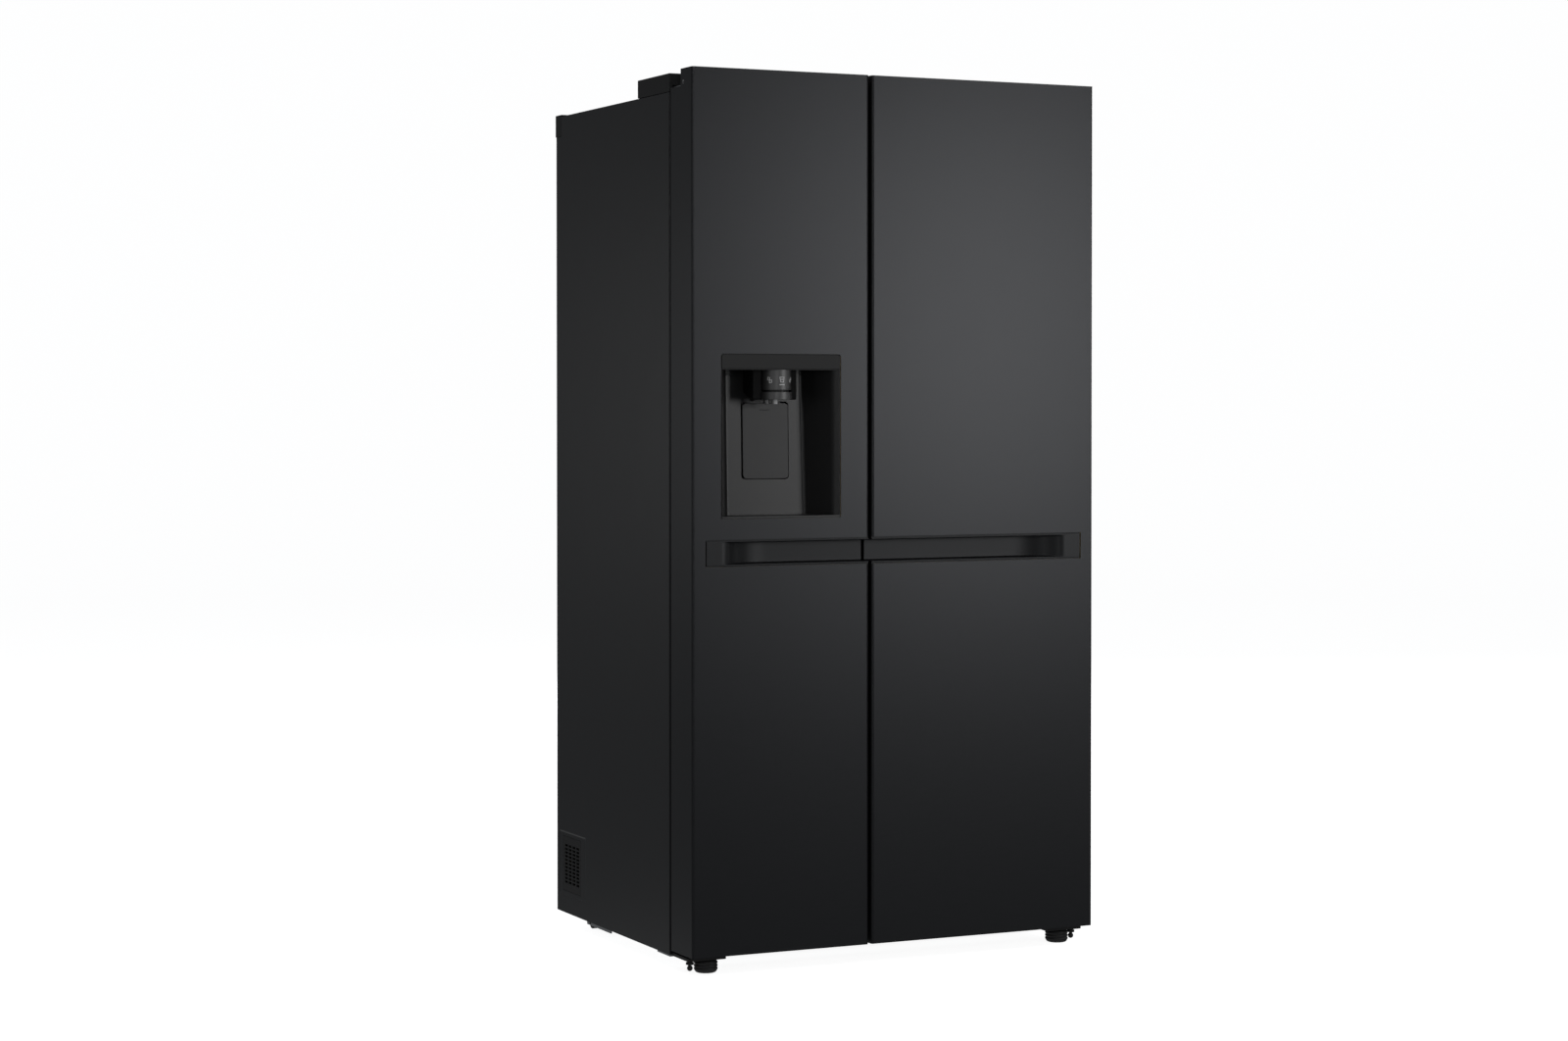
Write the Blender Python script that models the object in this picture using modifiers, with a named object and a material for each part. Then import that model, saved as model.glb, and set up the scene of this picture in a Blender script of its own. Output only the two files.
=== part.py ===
"""Side-by-side refrigerator with an ice and water dispenser in its narrower, left door.

Metres, +Z up. The doors face -Y, the origin is on the floor under the middle of the body.
Each named object is one physical piece. Empties carry what swings, slides or turns.
"""

import math

import bmesh
import bpy
from mathutils import Matrix, Vector

# Overall sizes
WIDTH = 0.913
DEPTH = 0.735
HEIGHT = 1.790
CASE_DROP = 0.040
CASE_BOTTOM = 0.028

# Doors
DOOR_THICK = 0.105
DOOR_BOTTOM = 0.038
DOOR_SKIN = 0.0012
DOOR_EDGE_RADIUS = 0.005
FREEZER_DOOR_WIDTH = 0.3887
DOOR_GAP = 0.007
GASKET_GAP = 0.0087
GASKET_WIDTH = 0.0155
TOP_CAP_HEIGHT = 0.060
BOTTOM_CAP_HEIGHT = 0.030
LINER_SHEET = 0.002
DIKE_WIDTH = 0.012
DIKE_DEPTH = 0.030

# Insulated body
SHEET = 0.001
SIDE_WALL = 0.050
RAIL_DEPTH = 0.065
RAIL_DROP = 0.0038
RAIL_RISE = 0.026
RUNNER_FRONT = 0.227
RUNNER_REAR = 0.092
EAR_THICK = 0.003
TOP_WALL = 0.055
BACK_WALL = 0.060
FLOOR_WALL = 0.067
DIVIDER = 0.045
LINER_WALL = 0.0018
CAP_PROUD = 0.006
CAP_HEIGHT = 0.047
CAP_DEPTH = 0.035
CAP_RISE = 0.0035

# Machine room, in the lower rear of the body
MACHINE_DEPTH = 0.200
MACHINE_HEIGHT = 0.222
MACHINE_WALL = 0.040
VENT_WIDTH = 0.103
VENT_HEIGHT = 0.118
VENT_REAR_MARGIN = 0.035
VENT_SILL = 0.048
VENT_THICK = 0.004
VENT_COLUMNS = 4
VENT_ROWS = 11
VENT_HOLE = (0.016, 0.0048)
VENT_PITCH = (0.022, 0.0079)
COVER_SLOTS = 24
COVER_SLOT_WIDTH = 0.008
COVER_SLOT_SPAN = 0.753
COVER_SLOT_MARGIN = 0.040
COMPRESSOR_INSET = 0.190
COMPRESSOR_TOP = 0.170
COMPRESSOR_PLATE = (0.190, 0.120, 0.003)
COIL_ROWS = 4
COIL_COLUMNS = 5
COIL_PITCH = 0.030
COIL_RISE = 0.055
COIL_ENDS = (0.055, 0.275)
COIL_RADIUS = 0.0035
SHROUD_INSET = 0.345
SHROUD_THICK = 0.020
FAN_RISE = 0.105
FAN_MOTOR_RADIUS = 0.020

# Top cover and hinges
COVER_DEPTH = 0.161
COVER_HEIGHT = 0.037
COVER_WALL = 0.0025
COVER_AHEAD = 0.007
HINGE_INSET = 0.020
HINGE_AHEAD = 0.0275
NOTCH_WIDTH = 0.078
NOTCH_DEPTH = 0.049
NOTCH_HEIGHT = 0.034
HINGE_PLATE = 0.003
HINGE_FOOT = 0.110
HINGE_NOSE = 0.012
BRACKET_SETBACK = 0.033
BRACKET_END = 0.089
TAB_START = 0.038
TAB_RISE = 0.016
PIN_RADIUS = 0.004
PIN_LENGTH = 0.015

# Feet and rollers
FOOT_RADIUS = 0.024
FOOT_HEIGHT = 0.0245
FOOT_INSET = 0.053
FOOT_SETBACK = 0.055
STUD_RADIUS = 0.005
ROLLER_RADIUS = 0.0125
ROLLER_WIDTH = 0.018
ROLLER_INSET = 0.045
ROLLER_SETBACK = 0.110
AXLE_RADIUS = 0.003
AXLE_STUB = 0.004

# Handles: troughs let into the door fronts, open towards the gap between the doors
HANDLE_BOTTOM = 0.808
HANDLE_HEIGHT = 0.0527
HANDLE_END = 0.029
HANDLE_FLAT = 0.041
HANDLE_RAMP = 0.104
HANDLE_DEPTH = 0.035
HANDLE_WALL = 0.0025
HANDLE_SINK = 0.0003
HANDLE_LEAD = 0.45

# Dispenser
DISPENSER_INSET = 0.0625
DISPENSER_WIDTH = 0.263
DISPENSER_BOTTOM = 0.902
DISPENSER_HEIGHT = 0.326
DISPENSER_RECESS = 0.080
DISPENSER_BODY = 0.096
DISPENSER_LIP = 0.012
DISPENSER_FRAME = 0.0045
DISPENSER_TAPER = 0.041
DISPLAY_HEIGHT = 0.030
DISPLAY_DEPTH = 0.012
PAD_WIDTH = 0.092
PAD_HEIGHT = 0.152
PAD_THICK = 0.005
PAD_PROUD = 0.005
PAD_DROP = 0.067
PAD_AXLE = 0.002
SPOUT_SETBACK = 0.032
SPOUT_SHIFT = 0.003
SELECTOR_RADIUS = 0.030
SELECTOR_HEIGHT = 0.0405
COLLAR_RADIUS = 0.0318
COLLAR_HEIGHT = 0.015
COLLAR_GAP = 0.004
NECK_RADIUS = 0.012
NOZZLE_RADIUS = 0.005
NOZZLE_LENGTH = 0.009
NOZZLE_SHIFTS = (-0.0215, -0.002)

# Inside
BIN_DEPTH = 0.094
BIN_HEIGHT = 0.105
BIN_WALL = 0.0022
BIN_SWING = 0.0115
ICE_BIN_SHARE = 0.57
ICE_BIN_RISE = 0.010
FREEZER_BINS = 2
FRIDGE_BINS = 3
DRAWER_SETBACK = 0.0275
DRAWER_HEIGHT = 0.150
DRAWER_WALL = 0.0025
DRAWER_SIDE_GAP = 0.008
DRAWER_STEP = 0.018
FLANGE_START = 0.095
FLANGE_THICK = 0.006
REAR_GAP = 0.010
RIM_GAP = 0.006
RIM_GAPS = (0.005, 0.008)
BIN_SILL = 0.004
LEDGE = 0.006
SHELF_THICK = 0.008
SHELF_SIDE_GAP = 0.0015
FREEZER_SHELVES = 2
FRIDGE_SHELVES = 3
DUCT_WIDTH = 0.120
DUCT_DEPTH = 0.022
COVER_SHEET = 0.003
EVAPORATOR_SPACE = 0.072
EVAPORATOR_HEIGHT = 0.280
EVAPORATOR_FINS = 12
CHILL_FAN_RISE = 0.620
CHILL_FAN_SETBACK = 0.030
FAN_RADIUS = 0.055
CHILL_FAN_RADIUS = 0.045
BLADES = 5

# Clearances
FIT = 0.0004
SEAL_FIT = 0.0005
RUNNING = 0.0006

# Planes worked out from the sizes above
LEFT, RIGHT = -WIDTH / 2, WIDTH / 2
FRONT, BACK = -DEPTH / 2, DEPTH / 2
DOOR_REAR = FRONT + DOOR_THICK
CASE_FRONT = DOOR_REAR + GASKET_GAP
CASE_REAR = BACK - CAP_PROUD
CASE_TOP = HEIGHT - CASE_DROP
GAP_LEFT = LEFT + FREEZER_DOOR_WIDTH
GAP_RIGHT = GAP_LEFT + DOOR_GAP
GAP_CENTRE = (GAP_LEFT + GAP_RIGHT) / 2
ROOM_BOTTOM = CASE_BOTTOM + FLOOR_WALL
ROOM_TOP = CASE_TOP - TOP_WALL
ROOM_REAR = CASE_REAR - BACK_WALL
BASE_TOP = CASE_BOTTOM + 0.002
MACHINE_FRONT = CASE_REAR - MACHINE_DEPTH
MACHINE_TOP = BASE_TOP + MACHINE_HEIGHT
STEP_FRONT = MACHINE_FRONT - MACHINE_WALL
STEP_TOP = MACHINE_TOP + MACHINE_WALL
DISPENSER_TOP = DISPENSER_BOTTOM + DISPENSER_HEIGHT
DISPENSER_CEILING = DISPENSER_TOP - DISPLAY_HEIGHT
BIN_REAR = DOOR_REAR + FIT + BIN_DEPTH
DRAWER_FRONT = BIN_REAR + DRAWER_SETBACK
HINGE_Y = DOOR_REAR - HINGE_AHEAD
NOTCH_FLOOR = HEIGHT - NOTCH_HEIGHT


# ---------------------------------------------------------------- tools

def clear_scene():
    for old in list(bpy.data.objects):
        bpy.data.objects.remove(old, do_unlink=True)


def collection(name):
    made = bpy.data.collections.new(name)
    bpy.context.scene.collection.children.link(made)
    return made


def material(name, colour, roughness, metallic=0.0):
    made = bpy.data.materials.new(name)
    made.use_nodes = True
    shader = made.node_tree.nodes["Principled BSDF"]
    shader.inputs["Base Color"].default_value = (*colour, 1.0)
    shader.inputs["Roughness"].default_value = roughness
    shader.inputs["Metallic"].default_value = metallic
    return made


def place(name, mesh, centre, finish):
    """An object with its own copy of a finish, or a hidden cutter when it has none."""
    made = bpy.data.objects.new(name, mesh)
    made.location = centre
    if finish is None:
        CUTTERS.objects.link(made)
        made.hide_render = True
        made.display_type = "WIRE"
    else:
        PARTS.objects.link(made)
        own = finish.copy()
        own.name = name
        mesh.materials.append(own)
    return made


def to_mesh(shape, name):
    mesh = bpy.data.meshes.new(name)
    shape.to_mesh(mesh)
    shape.free()
    return mesh


def box(name, low, high, finish=None, radius=0.0, along=None):
    """A block between two corners. Edges that run along one axis, or all, are rounded."""
    low, high = Vector(low), Vector(high)
    shape = bmesh.new()
    bmesh.ops.create_cube(shape, size=1.0, matrix=Matrix.Diagonal((*(high - low), 1.0)))
    if radius:
        round_edges(shape, radius, along)
    return place(name, to_mesh(shape, name), (low + high) / 2, finish)


def round_edges(shape, radius, along=None, segments=2, front_only=False):
    chosen = []
    for edge in shape.edges:
        start, end = (vert.co for vert in edge.verts)
        run = (start - end).normalized()
        if front_only and start.y + end.y > 0:
            continue
        if along is None or abs(run["XYZ".index(along)]) > 0.9:
            chosen.append(edge)
    bmesh.ops.bevel(shape, geom=chosen, offset=radius, segments=segments,
                    profile=0.5, affect="EDGES")


def door_block(name, low, high, inset, finish=None):
    """A block as wide as a door, its upright front edges rounded to lie inside the skin's."""
    low, high = Vector(low), Vector(high)
    shape = bmesh.new()
    bmesh.ops.create_cube(shape, size=1.0, matrix=Matrix.Diagonal((*(high - low), 1.0)))
    round_edges(shape, DOOR_EDGE_RADIUS - inset, "Z", segments=3, front_only=True)
    return place(name, to_mesh(shape, name), (low + high) / 2, finish)


def shell(name, low, high, open_side, wall, finish, radius=0.0):
    """A thin box with one open side, from an open surface with Solidify."""
    low, high = Vector(low), Vector(high)
    axis = "XYZ".index(open_side[1])
    sign = 1.0 if open_side[0] == "+" else -1.0
    shape = bmesh.new()
    bmesh.ops.create_cube(shape, size=1.0, matrix=Matrix.Diagonal((*(high - low), 1.0)))
    if radius:
        round_edges(shape, radius, open_side[1])
    lid = [f for f in shape.faces if f.normal[axis] * sign > 0.9]
    bmesh.ops.delete(shape, geom=lid, context="FACES")
    made = place(name, to_mesh(shape, name), (low + high) / 2, finish)
    thicken = made.modifiers.new("wall", "SOLIDIFY")
    thicken.thickness = wall
    thicken.offset = -1.0
    thicken.use_even_offset = True
    return made


def rod(name, radius, low, high, axis, finish=None, sides=16):
    """A cylinder from one point to another, along a named axis."""
    low, high = Vector(low), Vector(high)
    shape = bmesh.new()
    bmesh.ops.create_cone(shape, cap_ends=True, segments=sides, radius1=radius,
                          radius2=radius, depth=(high - low).length)
    turn = {"X": Matrix.Rotation(math.pi / 2, 4, "Y"),
            "Y": Matrix.Rotation(math.pi / 2, 4, "X"), "Z": Matrix.Identity(4)}[axis]
    shape.transform(turn)
    mesh = to_mesh(shape, name)
    mesh.shade_smooth()
    mesh.set_sharp_from_angle(angle=math.radians(40))
    return place(name, mesh, (low + high) / 2, finish)


def turned(name, profile, centre, axis, finish=None, steps=24):
    """A profile of (radius, height) points, top to bottom, turned about an axis."""
    shape = bmesh.new()
    points = [shape.verts.new((r, 0.0, h)) for r, h in profile]
    for first, second in zip(points, points[1:]):
        shape.edges.new((first, second))
    made = place(name, to_mesh(shape, name), centre, finish)
    spin = made.modifiers.new("turn", "SCREW")
    spin.steps = steps
    spin.render_steps = steps
    spin.use_merge_vertices = True
    spin.merge_threshold = 0.00005
    spin.use_smooth_shade = True
    made.rotation_euler = {"X": (0, math.pi / 2, 0), "Y": (-math.pi / 2, 0, 0),
                           "Z": (0, 0, 0)}[axis]
    return made


def outline(name, points, axis, low, high, finish=None):
    """A flat outline, given across an axis, made a solid between two planes on it."""
    curve = bpy.data.curves.new(name, "CURVE")
    curve.dimensions = "2D"
    curve.fill_mode = "BOTH"
    curve.extrude = (high - low) / 2
    line = curve.splines.new("POLY")
    line.points.add(len(points) - 1)
    for point, (u, v) in zip(line.points, points):
        point.co = (u, v, 0.0, 1.0)
    line.use_cyclic_u = True
    flat = bpy.data.objects.new(name + "_outline", curve)
    CUTTERS.objects.link(flat)
    view = bpy.context.view_layer
    view.update()
    mesh = bpy.data.meshes.new_from_object(flat.evaluated_get(view.depsgraph))
    bpy.data.objects.remove(flat, do_unlink=True)
    shape = bmesh.new()
    shape.from_mesh(mesh)
    bmesh.ops.remove_doubles(shape, verts=shape.verts, dist=0.00005)
    middle = (low + high) / 2
    turn = {"X": Matrix(((0, 0, 1, middle), (1, 0, 0, 0), (0, 1, 0, 0), (0, 0, 0, 1))),
            "Z": Matrix.Translation((0, 0, middle))}[axis]
    shape.transform(turn)
    bmesh.ops.recalc_face_normals(shape, faces=shape.faces)
    return place(name, to_mesh(shape, name), (0, 0, 0), finish)


def tube(name, route, radius, finish):
    """A bent pipe along a list of points."""
    curve = bpy.data.curves.new(name, "CURVE")
    curve.dimensions = "3D"
    curve.bevel_depth = radius
    curve.bevel_resolution = 2
    curve.use_fill_caps = True
    line = curve.splines.new("POLY")
    line.points.add(len(route) - 1)
    for point, where in zip(line.points, route):
        point.co = (*where, 1.0)
    made = bpy.data.objects.new(name, curve)
    PARTS.objects.link(made)
    own = finish.copy()
    own.name = name
    curve.materials.append(own)
    return made


def boolean(target, other, operation):
    step = target.modifiers.new(operation.lower(), "BOOLEAN")
    step.object = other
    step.operation = operation
    step.solver = "EXACT"
    return target


def cut(target, *cutters):
    for cutter in cutters:
        boolean(target, cutter, "DIFFERENCE")
    return target


def join(target, *others):
    for other in others:
        boolean(target, other, "UNION")
    return target


def several(name, boxes):
    """One hidden tool made of several separate blocks."""
    shape = bmesh.new()
    for low, high in boxes:
        low, high = Vector(low), Vector(high)
        where = Matrix.Translation((low + high) / 2) @ Matrix.Diagonal((*(high - low), 1.0))
        bmesh.ops.create_cube(shape, size=1.0, matrix=where)
    return place(name, to_mesh(shape, name), (0, 0, 0), None)


def pivot(name, where, parent=None):
    made = bpy.data.objects.new(name, None)
    made.empty_display_size = 0.05
    made.location = where
    PARTS.objects.link(made)
    if parent is not None:
        made.location = Vector(where) - origin_of(parent)
        made.parent = parent
    return made


def origin_of(thing):
    where = Vector(thing.location)
    while thing.parent is not None:
        thing = thing.parent
        where += thing.location
    return where


def carry(holder, *pieces):
    """Parents pieces, and the tools that shape them, to the empty they move with."""
    base = origin_of(holder)
    for piece in pieces:
        if piece.parent is None:
            piece.location -= base
            piece.parent = holder
            carry(holder, *[m.object for m in piece.modifiers if m.type == "BOOLEAN"])


def grow(low, high, by):
    pad = Vector((by, by, by))
    return Vector(low) - pad, Vector(high) + pad


# ---------------------------------------------------------------- body

def build_case():
    """Painted steel wrapper: sides, top and the front frame that the gaskets close on."""
    low = (LEFT, CASE_FRONT, CASE_BOTTOM)
    high = (RIGHT, CASE_REAR, CASE_TOP)
    case = box("outer_case", low, high, PAINT)
    inside = box("case_inside", (LEFT + SHEET, CASE_FRONT + SHEET, CASE_BOTTOM - 0.01),
                 (RIGHT - SHEET, CASE_REAR + 0.01, CASE_TOP - SHEET))
    edge = LINER_WALL + FIT
    mouths = []
    for word in ("freezer", "fridge"):
        low, high = room(word)
        mouths.append(((low[0] - edge, CASE_FRONT - 0.01, low[2] - edge),
                       (high[0] + edge, CASE_FRONT + 0.01, high[2] + edge)))
    vent_low, vent_high = vent_box()
    vent = box("case_vent", *grow(vent_low, vent_high, FIT))
    cut(case, inside, several("case_mouths", mouths), cap_space("case_cap_space"), vent)


def cap_space(name):
    """Room for the rear cap at the top rear edge."""
    return box(name, (LEFT - 0.01, BACK - CAP_DEPTH - FIT, CASE_TOP + CAP_RISE - CAP_HEIGHT - FIT),
               (RIGHT + 0.01, BACK + 0.01, CASE_TOP + 0.05))


def vent_box():
    """The grille's place in the left side panel, from the panel's face inwards."""
    rear = CASE_REAR - VENT_REAR_MARGIN
    sill = CASE_BOTTOM + VENT_SILL
    return (LEFT, rear - VENT_WIDTH, sill), (LEFT + VENT_THICK, rear, sill + VENT_HEIGHT)


def build_vent():
    """Moulded air grille with rows of slots, in the left side of the machine room."""
    low, high = vent_box()
    grille = box("side_vent_grille", low, high, DARK_PLASTIC)
    middle = (Vector(low) + Vector(high)) / 2
    slots = []
    for column in range(VENT_COLUMNS):
        for row in range(VENT_ROWS):
            y = middle.y + (column - (VENT_COLUMNS - 1) / 2) * VENT_PITCH[0]
            z = middle.z + (row - (VENT_ROWS - 1) / 2) * VENT_PITCH[1]
            half = (VENT_HOLE[0] / 2, VENT_HOLE[1] / 2)
            slots.append(((low[0] - 0.01, y - half[0], z - half[1]),
                          (high[0] + 0.01, y + half[0], z + half[1])))
    cut(grille, several("vent_slots", slots))


def room(side):
    """The corners of a compartment: freezer on the left, fridge on the right."""
    if side == "freezer":
        xs = (LEFT + SIDE_WALL, GAP_CENTRE - DIVIDER / 2)
    else:
        xs = (GAP_CENTRE + DIVIDER / 2, RIGHT - SIDE_WALL)
    return (xs[0], CASE_FRONT, ROOM_BOTTOM), (xs[1], ROOM_REAR, ROOM_TOP)


def room_outline(low, high, by):
    """Side view of a compartment, grown by a wall, with the step over the machine room."""
    step_front = max(STEP_FRONT, low[1] + 0.02)
    return [(low[1] - 0.02, low[2] - by), (step_front + by, low[2] - by),
            (step_front + by, STEP_TOP - by), (high[1] + by, STEP_TOP - by),
            (high[1] + by, high[2] + by), (low[1] - 0.02, high[2] + by)]


def build_liners():
    """Vacuum-formed liners with moulded ledges, and the foam that fills round them."""
    foam_low = (LEFT + SHEET + FIT, CASE_FRONT + SHEET + FIT, BASE_TOP + FIT)
    foam_high = (RIGHT - SHEET - FIT, CASE_REAR - SHEET - 2 * FIT, CASE_TOP - SHEET - FIT)
    foam = box("cabinet_foam", foam_low, foam_high, FOAM)
    machine = box("machine_space", (LEFT - 0.01, MACHINE_FRONT, BASE_TOP - 0.01),
                  (RIGHT + 0.01, BACK + 0.01, MACHINE_TOP))
    rail = box("rail_space", (LEFT - 0.01, CASE_FRONT - 0.01, BASE_TOP - 0.01),
               (RIGHT + 0.01, CASE_FRONT + RAIL_DEPTH + 0.001, BASE_TOP + RAIL_RISE + 0.0005))
    cut(foam, machine, rail, cap_space("foam_cap_space"))
    for side in ("freezer", "fridge"):
        low, high = room(side)
        outer = outline(side + "_foam_space", room_outline(low, high, LINER_WALL + FIT), "X",
                        low[0] - LINER_WALL - FIT, high[0] + LINER_WALL + FIT)
        cut(foam, outer)
        liner = outline(side + "_liner", room_outline(low, high, LINER_WALL), "X",
                        low[0] - LINER_WALL, high[0] + LINER_WALL, LINER)
        hollow = outline(side + "_hollow", [(y - 0.02 if y < low[1] else y, z)
                         for y, z in room_outline(low, high, 0.0)], "X", low[0], high[0])
        mouth = box(side + "_mouth", (LEFT - 0.01, FRONT - 0.1, 0.0),
                    (RIGHT + 0.01, CASE_FRONT + FIT, HEIGHT))
        cut(liner, hollow, mouth)
        join(liner, several(side + "_ledges", ledges(side)))


def ledges(side):
    """Ledges on both walls of a compartment: one under each shelf and each drawer."""
    low, high = room(side)
    found = []
    for z in shelf_heights(side) + [upper_drawer_bottom(), lower_drawer_bottom()]:
        rear = ledge_rear(side, z)
        for x in (low[0], high[0]):
            inward = LEDGE if x == low[0] else -LEDGE
            xs = sorted((x - math.copysign(0.001, inward), x + inward))
            found.append(((xs[0], DRAWER_FRONT, z - FIT - LEDGE), (xs[1], rear, z - FIT)))
    return found


def ledge_rear(side, z):
    if z < STEP_TOP:
        return STEP_FRONT - REAR_GAP
    return inner_rear(side) - REAR_GAP


def inner_rear(side):
    """The rear of the usable space: a cover or a duct stands before the liner's back."""
    taken = EVAPORATOR_SPACE if side == "freezer" else DUCT_DEPTH
    return ROOM_REAR - taken - COVER_SHEET


def lower_drawer_bottom():
    return ROOM_BOTTOM + LEDGE + 2 * FIT


def upper_drawer_bottom():
    return STEP_TOP + LEDGE + 2 * FIT


def drawer_zone_top():
    return upper_drawer_bottom() + DRAWER_HEIGHT


def shelf_heights(side):
    """Shelf undersides: the lowest roofs the drawers, the others share the height."""
    lowest = drawer_zone_top() + 0.012
    count = FREEZER_SHELVES if side == "freezer" else FRIDGE_SHELVES
    pitch = (ROOM_TOP - lowest) / count
    return [lowest + pitch * i for i in range(count)]


def build_base():
    """Steel floor of the body, with a front rail, rear runners and roller brackets."""
    base = box("base_frame", (LEFT + SHEET + FIT, CASE_FRONT + SHEET + FIT, CASE_BOTTOM),
               (RIGHT - SHEET - FIT, CASE_REAR - SHEET - 2 * FIT, BASE_TOP), STEEL)
    rail = box("front_rail",
               (LEFT + SHEET + FIT, CASE_FRONT + SHEET + FIT, CASE_BOTTOM - RAIL_DROP),
               (RIGHT - SHEET - FIT, CASE_FRONT + RAIL_DEPTH, BASE_TOP + RAIL_RISE))
    half_ear = EAR_THICK / 2
    ears = []
    for side, inward in ((LEFT, 1), (RIGHT, -1)):
        for offset in (-1, 1):
            x = side + inward * ROLLER_INSET + offset * (ROLLER_WIDTH / 2 + RUNNING + half_ear)
            ears.append(((x - half_ear, CASE_REAR - RUNNER_FRONT, ROLLER_RADIUS - 0.005),
                         (x + half_ear, CASE_REAR - RUNNER_REAR, CASE_BOTTOM + 0.001)))
    join(base, rail, several("roller_ears", ears))
    for side, inward in (("left", 1), ("right", -1)):
        x = (LEFT if side == "left" else RIGHT) + inward * ROLLER_INSET
        where = Vector((x, roller_y(), ROLLER_RADIUS))
        bore = rod(f"roller_bore_{side}", AXLE_RADIUS + RUNNING, where - Vector((0.02, 0, 0)),
                   where + Vector((0.02, 0, 0)), "X")
        cut(base, bore)
        half = ROLLER_WIDTH / 2
        tip = half + AXLE_STUB
        wheel = turned(f"rear_roller_{side}", [
            (0.0, tip), (AXLE_RADIUS, tip), (AXLE_RADIUS, half),
            (ROLLER_RADIUS - 0.001, half), (ROLLER_RADIUS, half - 0.001),
            (ROLLER_RADIUS, -half + 0.001), (ROLLER_RADIUS - 0.001, -half),
            (AXLE_RADIUS, -half), (AXLE_RADIUS, -tip), (0.0, -tip)],
            where, "X", DARK_PLASTIC)
        carry(pivot(f"rear_roller_{side}_axle", where), wheel)


def roller_y():
    return CASE_REAR - ROLLER_SETBACK


def build_back():
    """Rear steel sheet, the cover of the machine room and the cap on the top rear edge."""
    rear = CASE_REAR - SHEET - FIT
    box("back_panel", (LEFT + SHEET + FIT, rear, MACHINE_TOP),
        (RIGHT - SHEET - FIT, CASE_REAR, CASE_TOP + CAP_RISE - CAP_HEIGHT - 2 * FIT), BACK_SHEET)
    cover = box("machine_room_cover", (LEFT + SHEET + FIT, rear, BASE_TOP + FIT),
                (RIGHT - SHEET - FIT, CASE_REAR, MACHINE_TOP - FIT), BACK_SHEET)
    slots = []
    half = COVER_SLOT_WIDTH / 2
    for i in range(COVER_SLOTS):
        x = COVER_SLOT_SPAN * ((i + 0.5) / COVER_SLOTS - 0.5)
        slots.append(((x - half, rear - 0.01, BASE_TOP + COVER_SLOT_MARGIN),
                      (x + half, CASE_REAR + 0.01, MACHINE_TOP - COVER_SLOT_MARGIN)))
    cut(cover, several("machine_slots", slots))
    shell("rear_top_cap", (LEFT, BACK - CAP_DEPTH, CASE_TOP + CAP_RISE - CAP_HEIGHT),
          (RIGHT, BACK, CASE_TOP + CAP_RISE), "-Y", COVER_WALL, DARK_PLASTIC)


# ---------------------------------------------------------------- machine room

def build_machine_room():
    """Compressor, condenser, and the fan between them, on the base."""
    middle = (MACHINE_FRONT + CASE_REAR) / 2
    floor = BASE_TOP + FIT
    seat = Vector((RIGHT - COMPRESSOR_INSET, middle, floor))
    top = COMPRESSOR_TOP
    compressor = turned("compressor", [
        (0.0, top), (0.030, top - 0.004), (0.055, top - 0.018), (0.070, top - 0.045),
        (0.074, top - 0.075), (0.074, 0.050), (0.064, 0.030), (0.040, 0.020), (0.0, 0.018)],
        seat, "Z", BLACK_METAL, steps=20)
    half = Vector((COMPRESSOR_PLATE[0] / 2, COMPRESSOR_PLATE[1] / 2, 0))
    plate = box("compressor_plate", seat - half, seat + half + Vector((0, 0, COMPRESSOR_PLATE[2])))
    post = rod("compressor_post", 0.030, seat + Vector((0, 0, 0.001)),
               seat + Vector((0, 0, 0.025)), "Z")
    join(compressor, plate, post)

    route = []
    for row in range(COIL_ROWS):
        y = middle + (row - (COIL_ROWS - 1) / 2) * COIL_PITCH
        for column in range(COIL_COLUMNS):
            level = column if row % 2 == 0 else COIL_COLUMNS - 1 - column
            z = floor + COIL_RISE + level * COIL_PITCH
            forward = (row * COIL_COLUMNS + column) % 2 == 0
            ends = COIL_ENDS if forward else COIL_ENDS[::-1]
            route += [(LEFT + end, y, z) for end in ends]
    tube("condenser_coil", route, COIL_RADIUS, STEEL)

    hub = Vector((LEFT + SHROUD_INSET, middle, floor + FAN_RISE))
    face = SHROUD_THICK / 2
    behind = face - 0.0035
    reach = FAN_RADIUS + 0.010
    shroud = box("fan_shroud", (hub.x - face, MACHINE_FRONT + 0.004, floor),
                 (hub.x + face, CASE_REAR - 0.006, MACHINE_TOP - 0.006), DARK_PLASTIC)
    ring = rod("shroud_ring", FAN_RADIUS + 0.007, hub - Vector((0.02, 0, 0)),
               hub + Vector((0.02, 0, 0)), "X", sides=32)
    strut = box("shroud_strut", (hub.x + behind, hub.y - 0.010, hub.z - reach),
                (hub.x + face, hub.y + 0.010, hub.z + reach))
    motor = rod("shroud_motor", FAN_MOTOR_RADIUS, hub + Vector((behind, 0, 0)),
                hub + Vector((0.030, 0, 0)), "X")
    cut(shroud, ring)
    join(shroud, strut, motor)
    fan = fan_wheel("condenser_fan", hub, "X", FAN_RADIUS, 0.008)
    carry(pivot("condenser_fan_axis", hub), fan)


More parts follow.
